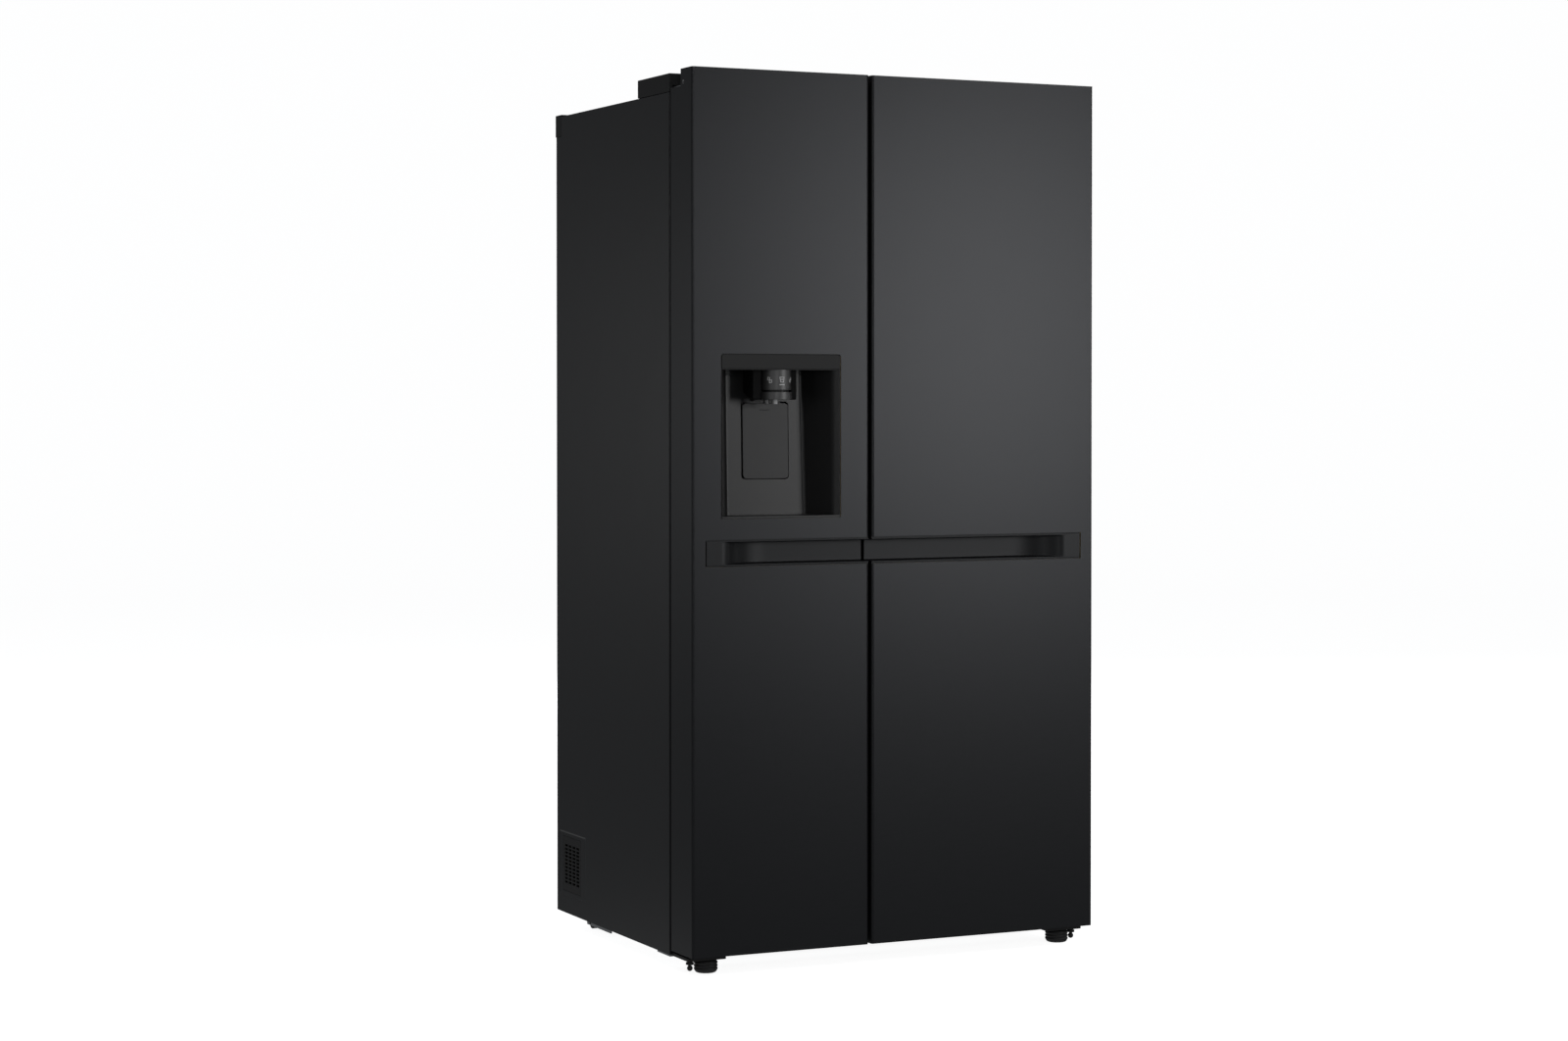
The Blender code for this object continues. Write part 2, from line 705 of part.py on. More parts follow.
def fan_wheel(name, hub, axis, radius, width):
    """Hub with twisted blades, one moulding."""
    half = width / 2
    wheel = turned(name, [(0.0, half), (0.016, half), (0.018, half - 0.002), (0.018, -half),
                          (0.0, -half)], hub, axis, DARK_PLASTIC, steps=20)
    shape = bmesh.new()
    reach = radius - 0.014
    for blade in range(BLADES):
        flat = Matrix.Diagonal((reach, 0.030, 0.0018, 1.0))
        twist = Matrix.Rotation(math.radians(12), 4, "X")
        out = Matrix.Translation((0.014 + reach / 2, 0, 0))
        spin = Matrix.Rotation(math.tau * blade / BLADES, 4, "Z")
        bmesh.ops.create_cube(shape, size=1.0, matrix=spin @ out @ twist @ flat)
    blades = place(name + "_blades", to_mesh(shape, name + "_blades"), hub, None)
    blades.rotation_euler = wheel.rotation_euler
    return join(wheel, blades)


# ---------------------------------------------------------------- top cover and hinges

def hinge_x(side):
    return LEFT + HINGE_INSET if side == "left" else RIGHT - HINGE_INSET


def inboard(side):
    return 1 if side == "left" else -1


def span(side, near, far):
    """Two X values at distances from the left or the right side, in rising order."""
    start = LEFT if side == "left" else RIGHT
    return sorted((start + inboard(side) * near, start + inboard(side) * far))


def build_top():
    """Plastic cover across the top front, over the hinges."""
    cover_front = DOOR_REAR + COVER_AHEAD
    cover = shell("top_cover", (LEFT, cover_front, CASE_TOP + FIT),
                  (RIGHT, CASE_FRONT + COVER_DEPTH, CASE_TOP + COVER_HEIGHT), "-Z",
                  COVER_WALL, DARK_PLASTIC)
    slots = []
    for side in ("left", "right"):
        xs = span(side, 0.008, NOTCH_WIDTH - 0.006)
        slots.append(((xs[0], cover_front - 0.01, CASE_TOP - 0.01),
                      (xs[1], cover_front + 0.006, NOTCH_FLOOR + HINGE_PLATE + 0.004)))
    cut(cover, several("cover_slots", slots))


def build_hinges():
    """Top hinge: cranked plate with a pin. Bottom hinge: angle bracket, pin and foot hole."""
    for side in ("left", "right"):
        x = hinge_x(side)
        plate_top = NOTCH_FLOOR + 0.0015 + HINGE_PLATE
        xs = span(side, 0.010, NOTCH_WIDTH - 0.008)
        seat = CASE_TOP + FIT
        under = plate_top - HINGE_PLATE
        nose = HINGE_Y - HINGE_NOSE
        bend = CASE_FRONT + 0.012
        rear = CASE_FRONT + HINGE_FOOT
        top = outline(f"top_hinge_{side}", [
            (nose, under), (bend, under), (bend, seat), (rear, seat),
            (rear, seat + HINGE_PLATE), (bend + 2 * HINGE_PLATE, seat + HINGE_PLATE),
            (bend + 2 * HINGE_PLATE, plate_top), (nose, plate_top)],
            "X", xs[0], xs[1], STEEL)
        pin = rod(f"top_pin_{side}", PIN_RADIUS, (x, HINGE_Y, under - PIN_LENGTH),
                  (x, HINGE_Y, plate_top + 0.004), "Z")
        join(top, pin)

        plate_low, plate_high = FOOT_HEIGHT + 0.002, DOOR_BOTTOM - 0.0055
        xs = span(side, 0.005, BRACKET_END)
        bottom = box(f"bottom_hinge_{side}", (xs[0], FRONT + BRACKET_SETBACK, plate_low),
                     (xs[1], CASE_FRONT - FIT, plate_high), STEEL, radius=0.004, along="Z")
        tab_xs = span(side, TAB_START, BRACKET_END)
        tab_front = CASE_FRONT - FIT - HINGE_PLATE
        tab = box(f"bottom_tab_{side}", (tab_xs[0], tab_front, plate_low + 0.001),
                  (tab_xs[1], CASE_FRONT - FIT, DOOR_BOTTOM + TAB_RISE))
        pin = rod(f"bottom_pin_{side}", PIN_RADIUS, (x, HINGE_Y, plate_low + 0.001),
                  (x, HINGE_Y, DOOR_BOTTOM + PIN_LENGTH), "Z")
        foot = foot_centre(side)
        hole = rod(f"foot_hole_{side}", STUD_RADIUS + RUNNING, foot + Vector((0, 0, 0.02)),
                   foot + Vector((0, 0, 0.045)), "Z")
        join(bottom, tab, pin)
        cut(bottom, hole)
        build_foot(side)


def foot_centre(side):
    start = LEFT if side == "left" else RIGHT
    return Vector((start + inboard(side) * FOOT_INSET, FRONT + FOOT_SETBACK, 0.0))


def build_foot(side):
    """Levelling foot: a moulded disc on a threaded stud."""
    stud_top = DOOR_BOTTOM - 0.002
    foot = turned(f"front_foot_{side}", [
        (0.0, stud_top), (STUD_RADIUS, stud_top), (STUD_RADIUS, FOOT_HEIGHT),
        (FOOT_RADIUS - 0.002, FOOT_HEIGHT), (FOOT_RADIUS, FOOT_HEIGHT - 0.002),
        (FOOT_RADIUS, 0.008), (FOOT_RADIUS - 0.003, 0.002), (FOOT_RADIUS - 0.006, 0.0),
        (0.0, 0.0)], foot_centre(side), "Z", DARK_PLASTIC)
    carry(pivot(f"front_foot_{side}_axis", foot_centre(side)), foot)


# ---------------------------------------------------------------- doors

def door_span(side):
    return (LEFT, GAP_LEFT) if side == "left" else (GAP_RIGHT, RIGHT)


def build_door(side, word):
    """Skin, end caps, foam, liner, gasket and trough handle of one door."""
    x0, x1 = door_span(side)
    hinge = Vector((hinge_x(side), HINGE_Y, 0.0))
    frame = pivot(f"{word}_door_hinge", hinge)
    handle_low, handle_high, handle = build_handle(side, word)
    notch = notch_box(side)
    inside_x = (x0 + DOOR_SKIN, x1 - DOOR_SKIN)

    panel = door_block(f"{word}_door_panel", (x0, FRONT, DOOR_BOTTOM), (x1, DOOR_REAR, HEIGHT),
                       0.0, DOOR)
    hollow = door_block(f"{word}_door_hollow",
                        (inside_x[0], FRONT + DOOR_SKIN, DOOR_BOTTOM - 0.01),
                        (inside_x[1], DOOR_REAR + 0.01, HEIGHT + 0.01), DOOR_SKIN)
    cut(panel, hollow, box(f"{word}_panel_notch", *notch),
        box(f"{word}_panel_handle", *grow(handle_low, handle_high, FIT)))

    cap_x = (inside_x[0] + FIT, inside_x[1] - FIT)
    cap_front = FRONT + DOOR_SKIN + FIT
    inset = DOOR_SKIN + FIT
    top = door_block(f"{word}_door_top_cap", (cap_x[0], cap_front, HEIGHT - TOP_CAP_HEIGHT),
                     (cap_x[1], DOOR_REAR, HEIGHT - FIT), inset, DARK_PLASTIC)
    bore = rod(f"{word}_top_bore", PIN_RADIUS + RUNNING,
               hinge + Vector((0, 0, NOTCH_FLOOR - PIN_LENGTH - 0.002)),
               hinge + Vector((0, 0, HEIGHT + 0.01)), "Z")
    cut(top, box(f"{word}_cap_notch", *grow(*notch, FIT)), bore)
    bottom = door_block(f"{word}_door_bottom_cap", (cap_x[0], cap_front, DOOR_BOTTOM + FIT),
                        (cap_x[1], DOOR_REAR, DOOR_BOTTOM + BOTTOM_CAP_HEIGHT), inset,
                        DARK_PLASTIC)
    bore = rod(f"{word}_bottom_bore", PIN_RADIUS + RUNNING, hinge + Vector((0, 0, 0.01)),
               hinge + Vector((0, 0, DOOR_BOTTOM + PIN_LENGTH + 0.003)), "Z")
    cut(bottom, bore)

    liner_z = (DOOR_BOTTOM + BOTTOM_CAP_HEIGHT + FIT, HEIGHT - TOP_CAP_HEIGHT - FIT)
    foam = door_block(f"{word}_door_foam", (cap_x[0], cap_front, liner_z[0]),
                      (cap_x[1], DOOR_REAR - LINER_SHEET - FIT, liner_z[1]), inset, FOAM)
    cut(foam, box(f"{word}_foam_handle", *grow(handle_low, handle_high, FIT)))

    liner = box(f"{word}_door_liner", (cap_x[0], DOOR_REAR - LINER_SHEET, liner_z[0]),
                (cap_x[1], DOOR_REAR, liner_z[1]), LINER)
    low, high = dike_box(side, word)
    dike = box(f"{word}_dike", (low[0], DOOR_REAR - 0.001, low[2]), high)
    inner = box(f"{word}_dike_inner", (low[0] + DIKE_WIDTH, DOOR_REAR, low[2] + DIKE_WIDTH),
                (high[0] - DIKE_WIDTH, DOOR_REAR + 0.1, high[2] - DIKE_WIDTH))
    join(liner, dike)
    cut(liner, inner)

    seal_x = gasket_span(side)
    seal_z = (liner_z[0] + 0.003, liner_z[1] - 0.003)
    gasket = box(f"{word}_gasket", (seal_x[0], DOOR_REAR + FIT, seal_z[0]),
                 (seal_x[1], CASE_FRONT - SEAL_FIT, seal_z[1]), RUBBER)
    cut(gasket, box(f"{word}_gasket_inner",
                    (seal_x[0] + GASKET_WIDTH, DOOR_REAR - 0.01, seal_z[0] + GASKET_WIDTH),
                    (seal_x[1] - GASKET_WIDTH, CASE_FRONT + 0.01, seal_z[1] - GASKET_WIDTH)))
    carry(frame, panel, top, bottom, foam, liner, gasket, handle)
    return frame, panel, foam


def notch_box(side):
    """Clear space for the top hinge in the rear of the door's top, open to the outer side."""
    xs = span(side, -0.01, NOTCH_WIDTH)
    return ((xs[0], DOOR_REAR - NOTCH_DEPTH, NOTCH_FLOOR),
            (xs[1], DOOR_REAR + 0.01, HEIGHT + 0.01))


def gasket_span(side):
    x0, x1 = door_span(side)
    if side == "left":
        return hinge_x(side) + 0.0005, x1 - DOOR_SKIN - FIT
    return x0 + DOOR_SKIN + FIT, hinge_x(side) - 0.0005


def dike_box(side, word):
    """The rim on the door liner that enters the compartment."""
    low, high = room(word)
    gaps = RIM_GAPS if side == "left" else RIM_GAPS[::-1]
    return ((low[0] + gaps[0], DOOR_REAR, ROOM_BOTTOM + RIM_GAP),
            (high[0] - gaps[1], DOOR_REAR + DIKE_DEPTH, ROOM_TOP - RIM_GAP))


def build_handle(side, word):
    """Trough handle: flat at its outer end, then a ramp down to the full depth."""
    x0, x1 = door_span(side)
    near, sign = (x0 + HANDLE_END, 1) if side == "left" else (x1 - HANDLE_END, -1)
    far = x1 if side == "left" else x0
    low_x, high_x = sorted((near, far))
    low = (low_x, FRONT + HANDLE_SINK, HANDLE_BOTTOM)
    high = (high_x, FRONT + HANDLE_DEPTH + HANDLE_WALL, HANDLE_BOTTOM + HANDLE_HEIGHT)
    insert = box(f"{word}_handle", low, high, DARK_PLASTIC)
    start = near + sign * HANDLE_FLAT
    steps = 10
    points = [(start, FRONT - 0.01)]
    for i in range(steps + 1):
        t = i / steps
        depth = HANDLE_DEPTH * (1 - math.cos(math.pi * t ** HANDLE_LEAD)) / 2
        points.append((start + sign * HANDLE_RAMP * t, FRONT + HANDLE_SINK + depth))
    beyond = far + sign * 0.01
    points += [(beyond, FRONT + HANDLE_SINK + HANDLE_DEPTH), (beyond, FRONT - 0.01)]
    trough = outline(f"{word}_trough", points, "Z", HANDLE_BOTTOM + HANDLE_WALL,
                     HANDLE_BOTTOM + HANDLE_HEIGHT - HANDLE_WALL)
    cut(insert, trough)
    reach = sorted((near, beyond))
    space_low = (reach[0], FRONT - 0.01, HANDLE_BOTTOM)
    space_high = (reach[1], high[1], HANDLE_BOTTOM + HANDLE_HEIGHT)
    return space_low, space_high, insert


# ---------------------------------------------------------------- dispenser

def dispenser_box():
    x0 = LEFT + DISPENSER_INSET
    return ((x0, FRONT, DISPENSER_BOTTOM),
            (x0 + DISPENSER_WIDTH, FRONT + DISPENSER_BODY, DISPENSER_TOP))


def build_dispenser(frame, panel, foam):
    """Housing with a tapered recess, display strip, lever pad, spout and selector ring."""
    low, high = dispenser_box()
    middle = (low[0] + high[0]) / 2
    recess_rear = FRONT + DISPENSER_RECESS
    cut(panel, box("panel_dispenser", *grow((low[0], FRONT - 0.01, low[2]), high, FIT)))
    cut(foam, box("foam_dispenser", *grow((low[0], FRONT - 0.01, low[2]), high, FIT)))

    housing = box("dispenser_housing", low, high, GLOSS_DARK)
    edge = DISPENSER_FRAME
    ends = (low[0] + edge, high[0] - edge)
    recess = outline("dispenser_recess", [
        (ends[0], FRONT - 0.01), (ends[1], FRONT - 0.01), (ends[1], FRONT + DISPENSER_LIP),
        (ends[1] - DISPENSER_TAPER, recess_rear), (ends[0] + DISPENSER_TAPER, recess_rear),
        (ends[0], FRONT + DISPENSER_LIP)], "Z", low[2] + edge, DISPENSER_CEILING)
    strip = box("display_space", (low[0] - 0.01, FRONT - 0.01, DISPENSER_CEILING - FIT),
                (high[0] + 0.01, FRONT + DISPLAY_DEPTH + FIT, DISPENSER_TOP + 0.01))
    cut(housing, recess, strip)
    display = box("dispenser_display", (low[0], FRONT, DISPENSER_CEILING),
                  (high[0], FRONT + DISPLAY_DEPTH, DISPENSER_TOP), GLOSS_DARK,
                  radius=0.005, along="Y")

    pad_top = DISPENSER_CEILING - PAD_DROP
    well = box("pad_well", (middle - PAD_WIDTH / 2 - 0.002, recess_rear - 0.005,
                            pad_top - PAD_HEIGHT - 0.003),
               (middle + PAD_WIDTH / 2 + 0.002, FRONT + DISPENSER_BODY - 0.003, pad_top + 0.003),
               radius=0.006, along="Y")
    hinge = Vector((middle, recess_rear + 0.003, pad_top - 0.004))
    reach = Vector((PAD_WIDTH / 2 + 0.006, 0, 0))
    bore = rod("pad_bore", PAD_AXLE + RUNNING, hinge - reach, hinge + reach, "X", sides=12)
    cut(housing, well, bore)
    pad_front = recess_rear - PAD_PROUD
    pad = box("dispenser_pad", (middle - PAD_WIDTH / 2, pad_front, pad_top - PAD_HEIGHT),
              (middle + PAD_WIDTH / 2, pad_front + PAD_THICK, pad_top), SATIN_GREY,
              radius=0.006, along="Y")
    reach = Vector((PAD_WIDTH / 2 + 0.0045, 0, 0))
    lug = box("pad_lug", (middle - PAD_WIDTH / 2 + 0.006, recess_rear - 0.001, pad_top - 0.008),
              (middle + PAD_WIDTH / 2 - 0.006, recess_rear + 0.005, pad_top - 0.001))
    join(pad, lug, rod("pad_axle", PAD_AXLE, hinge - reach, hinge + reach, "X", sides=12))
    carry(pivot("dispenser_pad_axis", hinge, frame), pad)

    axis = Vector((middle + SPOUT_SHIFT, FRONT + SPOUT_SETBACK, 0.0))
    selector_top = DISPENSER_CEILING - RUNNING
    selector_bottom = selector_top - SELECTOR_HEIGHT
    bore_radius = NECK_RADIUS + RUNNING
    selector = turned("dispenser_selector", [
        (bore_radius, selector_top), (SELECTOR_RADIUS - 0.001, selector_top),
        (SELECTOR_RADIUS, selector_top - 0.001), (SELECTOR_RADIUS, selector_bottom + 0.001),
        (SELECTOR_RADIUS - 0.001, selector_bottom), (bore_radius, selector_bottom),
        (bore_radius, selector_top)], axis, "Z", SATIN_GREY, steps=32)
    carry(pivot("dispenser_selector_axis", axis, frame), selector)

    collar_top = selector_bottom - COLLAR_GAP
    collar_bottom = collar_top - COLLAR_HEIGHT
    spout = turned("dispenser_spout", [
        (0.0, DISPENSER_CEILING - FIT), (NECK_RADIUS, DISPENSER_CEILING - FIT),
        (NECK_RADIUS, collar_top), (COLLAR_RADIUS - 0.001, collar_top),
        (COLLAR_RADIUS, collar_top - 0.001), (COLLAR_RADIUS, collar_bottom + 0.001),
        (COLLAR_RADIUS - 0.001, collar_bottom), (0.0, collar_bottom)], axis, "Z", SATIN_GREY,
        steps=32)
    for i, shift in enumerate(NOZZLE_SHIFTS):
        start = axis + Vector((shift, 0, collar_bottom - NOZZLE_LENGTH))
        join(spout, rod(f"nozzle_{i}", NOZZLE_RADIUS, start,
                        start + Vector((0, 0, NOZZLE_LENGTH + 0.002)), "Z"))
    carry(frame, housing, display, spout)


# ---------------------------------------------------------------- bins, drawers, shelves

def bin_span(side, word):
    low, high = dike_box(side, word)
    inner = (low[0] + DIKE_WIDTH, high[0] - DIKE_WIDTH)
    if side == "left":
        return inner[0] + FIT, inner[1] - BIN_SWING
    return inner[0] + BIN_SWING, inner[1] - FIT


def ice_bin_span():
    """From just over the dispenser, through a share of the height left under the rim."""
    floor = DISPENSER_TOP + ICE_BIN_RISE
    return floor, floor + ICE_BIN_SHARE * (ROOM_TOP - RIM_GAP - DIKE_WIDTH - floor)


def door_bin(name, xs, bottom, height):
    return shell(name, (xs[0], DOOR_REAR + FIT, bottom), (xs[1], BIN_REAR, bottom + height),
                 "+Z", BIN_WALL, CLEAR, radius=0.010)


def build_bins(side, word, frame):
    """Door baskets, and on the freezer door the ice bin above the dispenser."""
    xs = bin_span(side, word)
    bottom = ROOM_BOTTOM + RIM_GAP + DIKE_WIDTH + BIN_SILL
    if word == "freezer":
        floor, rim = ice_bin_span()
        ice = shell("ice_bin", (xs[0], DOOR_REAR + FIT, floor), (xs[1], BIN_REAR, rim), "+Z",
                    BIN_WALL, SMOKE, radius=0.010)
        carry(frame, ice)
        count = FREEZER_BINS
        limit = DISPENSER_BOTTOM
    else:
        count = FRIDGE_BINS
        limit = ROOM_TOP - RIM_GAP - DIKE_WIDTH
    pitch = (limit - bottom) / count
    for i in range(count):
        carry(frame, door_bin(f"{word}_door_bin_{i + 1}", xs, bottom + pitch * i, BIN_HEIGHT))


def build_drawers(word):
    """Two pull-out drawers on the liner's ledges; the lower one stops at the step."""
    low, high = room(word)
    xs = (low[0] + DRAWER_SIDE_GAP, high[0] - DRAWER_SIDE_GAP)
    lower_top = upper_drawer_bottom() - DRAWER_STEP
    spans = (("lower", lower_drawer_bottom(), lower_top, STEP_FRONT - REAR_GAP - 0.002),
             ("upper", upper_drawer_bottom(), drawer_zone_top(), inner_rear(word) - REAR_GAP))
    walls = (low[0] + RUNNING + FIT, high[0] - RUNNING - FIT)
    for level, bottom, top, rear in spans:
        name = f"{word}_drawer_{level}"
        drawer = shell(name, (xs[0], DRAWER_FRONT, bottom + 0.001), (xs[1], rear, top), "+Z",
                       DRAWER_WALL, CLEAR, radius=0.008)
        ends = (DRAWER_FRONT + FLANGE_START, rear - 0.012)
        over = bottom + FLANGE_THICK
        flanges = several(name + "_flanges", [
            ((walls[0], ends[0], bottom), (xs[0] + 0.001, ends[1], over)),
            ((xs[1] - 0.001, ends[0], bottom), (walls[1], ends[1], over))])
        join(drawer, flanges)
        axis = ((xs[0] + xs[1]) / 2, DRAWER_FRONT, bottom)
        carry(pivot(name + "_slide", axis), drawer)


def build_shelves(word):
    """Shelves on the ledges: the lowest roofs the drawers."""
    low, high = room(word)
    for i, z in enumerate(shelf_heights(word)):
        name = f"{word}_shelf_{i + 1}"
        rear = inner_rear(word) - 0.004
        box(name, (low[0] + SHELF_SIDE_GAP, DRAWER_FRONT, z),
            (high[0] - SHELF_SIDE_GAP, rear, z + SHELF_THICK), GLASS, radius=0.002, along="X")


# ---------------------------------------------------------------- cold air

def build_cooling():
    """Evaporator and fan behind the freezer's cover, and the fridge's air duct."""
    low, high = room("freezer")
    front = ROOM_REAR - EVAPORATOR_SPACE
    cover = box("evaporator_cover", (low[0] + SHELF_SIDE_GAP, front, STEP_TOP + FIT),
                (high[0] - SHELF_SIDE_GAP, front + COVER_SHEET, ROOM_TOP - FIT), LINER)
    middle = (low[0] + high[0]) / 2
    hub = Vector((middle, front + CHILL_FAN_SETBACK, STEP_TOP + CHILL_FAN_RISE))
    slots = [((middle - 0.09, front - 0.01, STEP_TOP + 0.30 + 0.07 * i),
              (middle + 0.09, front + 0.01, STEP_TOP + 0.31 + 0.07 * i)) for i in range(3)]
    vents = [((middle - 0.05, front - 0.01, ROOM_TOP - 0.20 + 0.03 * i),
              (middle + 0.05, front + 0.01, ROOM_TOP - 0.19 + 0.03 * i)) for i in range(5)]
    motor = box("chill_motor", (hub.x - 0.018, front + 0.001, hub.z - 0.018),
                (hub.x + 0.018, hub.y - 0.008, hub.z + 0.018))
    cut(cover, several("cover_slots_low", slots), several("cover_slots_high", vents))
    join(cover, motor)

    floor = STEP_TOP + 0.02
    coil = box("evaporator", (low[0] + 0.02, front + 0.012, floor),
               (high[0] - 0.02, ROOM_REAR - REAR_GAP, floor + EVAPORATOR_HEIGHT), FINS)
    pitch = (high[0] - low[0] - 0.05) / EVAPORATOR_FINS
    gaps = []
    for i in range(EVAPORATOR_FINS):
        x = low[0] + 0.028 + pitch * i
        gaps.append(((x, front, floor + 0.01),
                     (x + pitch * 0.8, front + 0.045, floor + EVAPORATOR_HEIGHT + 0.01)))
    cut(coil, several("evaporator_gaps", gaps))

    fan = fan_wheel("evaporator_fan", hub, "Y", CHILL_FAN_RADIUS, 0.010)
    carry(pivot("evaporator_fan_axis", hub), fan)

    low, high = room("fridge")
    middle = (low[0] + high[0]) / 2
    half = DUCT_WIDTH / 2
    wall = COVER_SHEET
    rear = ROOM_REAR - FIT
    front = rear - DUCT_DEPTH
    floor = shelf_heights("fridge")[0] + 0.02
    duct = box("air_duct", (middle - half, front, floor), (middle + half, rear, ROOM_TOP - 0.01),
               LINER, radius=0.004, along="Z")
    hollow = box("duct_hollow", (middle - half + wall, front + wall, floor - 0.01),
                 (middle + half - wall, rear + 0.01, ROOM_TOP - 0.01 - wall))
    vents = []
    for z in shelf_heights("fridge")[1:] + [ROOM_TOP - 0.02]:
        vents.append(((middle - 0.04, front - 0.01, z - 0.045),
                      (middle + 0.04, front + 0.01, z - 0.037)))
    cut(duct, hollow, several("duct_vents", vents))


# ---------------------------------------------------------------- assembly

clear_scene()
PARTS = collection("side_by_side_refrigerator")
CUTTERS = collection("cutters")

DOOR = material("door_paint", (0.035, 0.036, 0.038), 0.45, 0.6)
PAINT = material("case_paint", (0.020, 0.021, 0.023), 0.55, 0.1)
DARK_PLASTIC = material("dark_plastic", (0.022, 0.022, 0.024), 0.5)
GLOSS_DARK = material("dispenser_plastic", (0.040, 0.040, 0.040), 0.35)
SATIN_GREY = material("satin_grey", (0.060, 0.060, 0.060), 0.35, 0.3)
STEEL = material("zinc_steel", (0.60, 0.61, 0.62), 0.35, 0.9)
FINS = material("aluminium_fins", (0.75, 0.76, 0.77), 0.4, 0.9)
BACK_SHEET = material("back_sheet", (0.30, 0.31, 0.32), 0.5, 0.6)
BLACK_METAL = material("black_metal", (0.020, 0.020, 0.020), 0.4, 0.3)
FOAM = material("foam", (0.75, 0.62, 0.35), 0.9)
LINER = material("liner", (0.82, 0.84, 0.85), 0.4)
RUBBER = material("gasket", (0.10, 0.10, 0.105), 0.7)
CLEAR = material("clear_plastic", (0.80, 0.86, 0.90), 0.15)
SMOKE = material("smoke_plastic", (0.35, 0.37, 0.40), 0.2)
GLASS = material("shelf_glass", (0.72, 0.82, 0.80), 0.05)

build_case()
build_vent()
build_liners()
build_base()
build_back()
build_machine_room()
build_top()
build_hinges()
for door_side, door_word in (("left", "freezer"), ("right", "fridge")):
    door_frame, door_panel, door_foam = build_door(door_side, door_word)
    if door_word == "freezer":
        build_dispenser(door_frame, door_panel, door_foam)
    build_bins(door_side, door_word, door_frame)
    build_drawers(door_word)
    build_shelves(door_word)
build_cooling()
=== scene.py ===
"""Side-by-side refrigerator: the looks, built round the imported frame."""

import math

import bmesh
import bpy
from mathutils import Matrix, Vector


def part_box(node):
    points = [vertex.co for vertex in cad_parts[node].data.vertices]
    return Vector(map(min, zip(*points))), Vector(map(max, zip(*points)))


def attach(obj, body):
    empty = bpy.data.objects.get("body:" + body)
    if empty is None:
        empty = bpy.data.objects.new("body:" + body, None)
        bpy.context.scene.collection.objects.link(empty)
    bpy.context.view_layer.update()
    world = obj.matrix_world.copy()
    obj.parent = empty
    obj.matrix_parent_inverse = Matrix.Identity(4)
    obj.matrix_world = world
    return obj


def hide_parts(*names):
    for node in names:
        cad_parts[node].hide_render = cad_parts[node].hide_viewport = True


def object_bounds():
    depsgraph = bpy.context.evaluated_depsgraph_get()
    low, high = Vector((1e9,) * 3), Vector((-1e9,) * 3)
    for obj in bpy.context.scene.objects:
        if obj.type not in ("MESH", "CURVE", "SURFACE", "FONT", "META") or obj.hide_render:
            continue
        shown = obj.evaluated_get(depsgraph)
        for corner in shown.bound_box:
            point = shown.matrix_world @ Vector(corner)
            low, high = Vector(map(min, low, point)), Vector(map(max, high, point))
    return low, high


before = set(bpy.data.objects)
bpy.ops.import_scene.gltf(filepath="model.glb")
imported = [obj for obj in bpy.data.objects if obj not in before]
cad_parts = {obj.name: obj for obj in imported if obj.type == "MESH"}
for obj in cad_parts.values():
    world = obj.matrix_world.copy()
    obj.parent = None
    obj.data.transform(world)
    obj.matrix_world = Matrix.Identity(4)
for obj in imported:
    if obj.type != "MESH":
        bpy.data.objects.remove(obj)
cad_low, cad_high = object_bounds()


# ------------------------ studio
# An almost level camera at chest height, left of the doors, in a round white paper room.
# One soft box is mirrored by the doors and one by the side panel. The others fill in all
# round, from above and from the pale floor.

IMAGE_WIDTH = 1600
FOCAL_LENGTH = 3138.9
SENSOR_WIDTH = 36.0
TURN = math.radians(25.5)
TILT = math.radians(0.995)
SHIFT = -0.042
EYE = Vector((-2.8893, -5.8859, 1.1346))
SKY_COLOUR = (0.93, 0.96, 1.0, 1.0)
SKY_STRENGTH = 0.10
ROOM_RADIUS = 16.0
ROOM_COVE = 4.0
ROOM_HEIGHT = 12.0
ROOM_PEAK = 13.0
COVE_STEPS = 12
PAPER_COLOUR = (0.80, 0.80, 0.80, 1.0)
PAPER_GLOW = 0.90
SIGHT = 80.0
ROOM_AXIS = 0.001

lens = bpy.data.cameras.new("camera")
lens.sensor_width = SENSOR_WIDTH
lens.lens = FOCAL_LENGTH / IMAGE_WIDTH * SENSOR_WIDTH
lens.shift_y = SHIFT
lens.clip_end = SIGHT
camera = bpy.data.objects.new("camera", lens)
camera.location = EYE
camera.rotation_euler = (math.pi / 2 - TILT, 0.0, -TURN)
bpy.context.scene.collection.objects.link(camera)
bpy.context.scene.camera = camera
bpy.context.scene.view_settings.view_transform = "Standard"

world = bpy.data.worlds.new("studio")
world.use_nodes = True
sky = world.node_tree.nodes["Background"]
sky.inputs["Color"].default_value = SKY_COLOUR
sky.inputs["Strength"].default_value = SKY_STRENGTH
bpy.context.scene.world = world

room = bmesh.new()
outline = [(ROOM_AXIS, 0.0), (ROOM_RADIUS - ROOM_COVE, 0.0)]
for i in range(1, COVE_STEPS + 1):
    bend = math.pi / 2 * i / COVE_STEPS
    outline.append((ROOM_RADIUS - ROOM_COVE + ROOM_COVE * math.sin(bend),
                    ROOM_COVE - ROOM_COVE * math.cos(bend)))
outline += [(ROOM_RADIUS, ROOM_HEIGHT), (ROOM_AXIS, ROOM_PEAK)]
points = [room.verts.new((radius, 0.0, height)) for radius, height in outline]
edges = [room.edges.new(pair) for pair in zip(points, points[1:])]
bmesh.ops.spin(room, geom=points + edges, cent=(0, 0, 0), axis=(0, 0, 1),
               angle=math.tau, steps=64, use_merge=True)
bmesh.ops.recalc_face_normals(room, faces=room.faces)
room_mesh = bpy.data.meshes.new("paper_room")
room.to_mesh(room_mesh)
room.free()
room_mesh.shade_smooth()
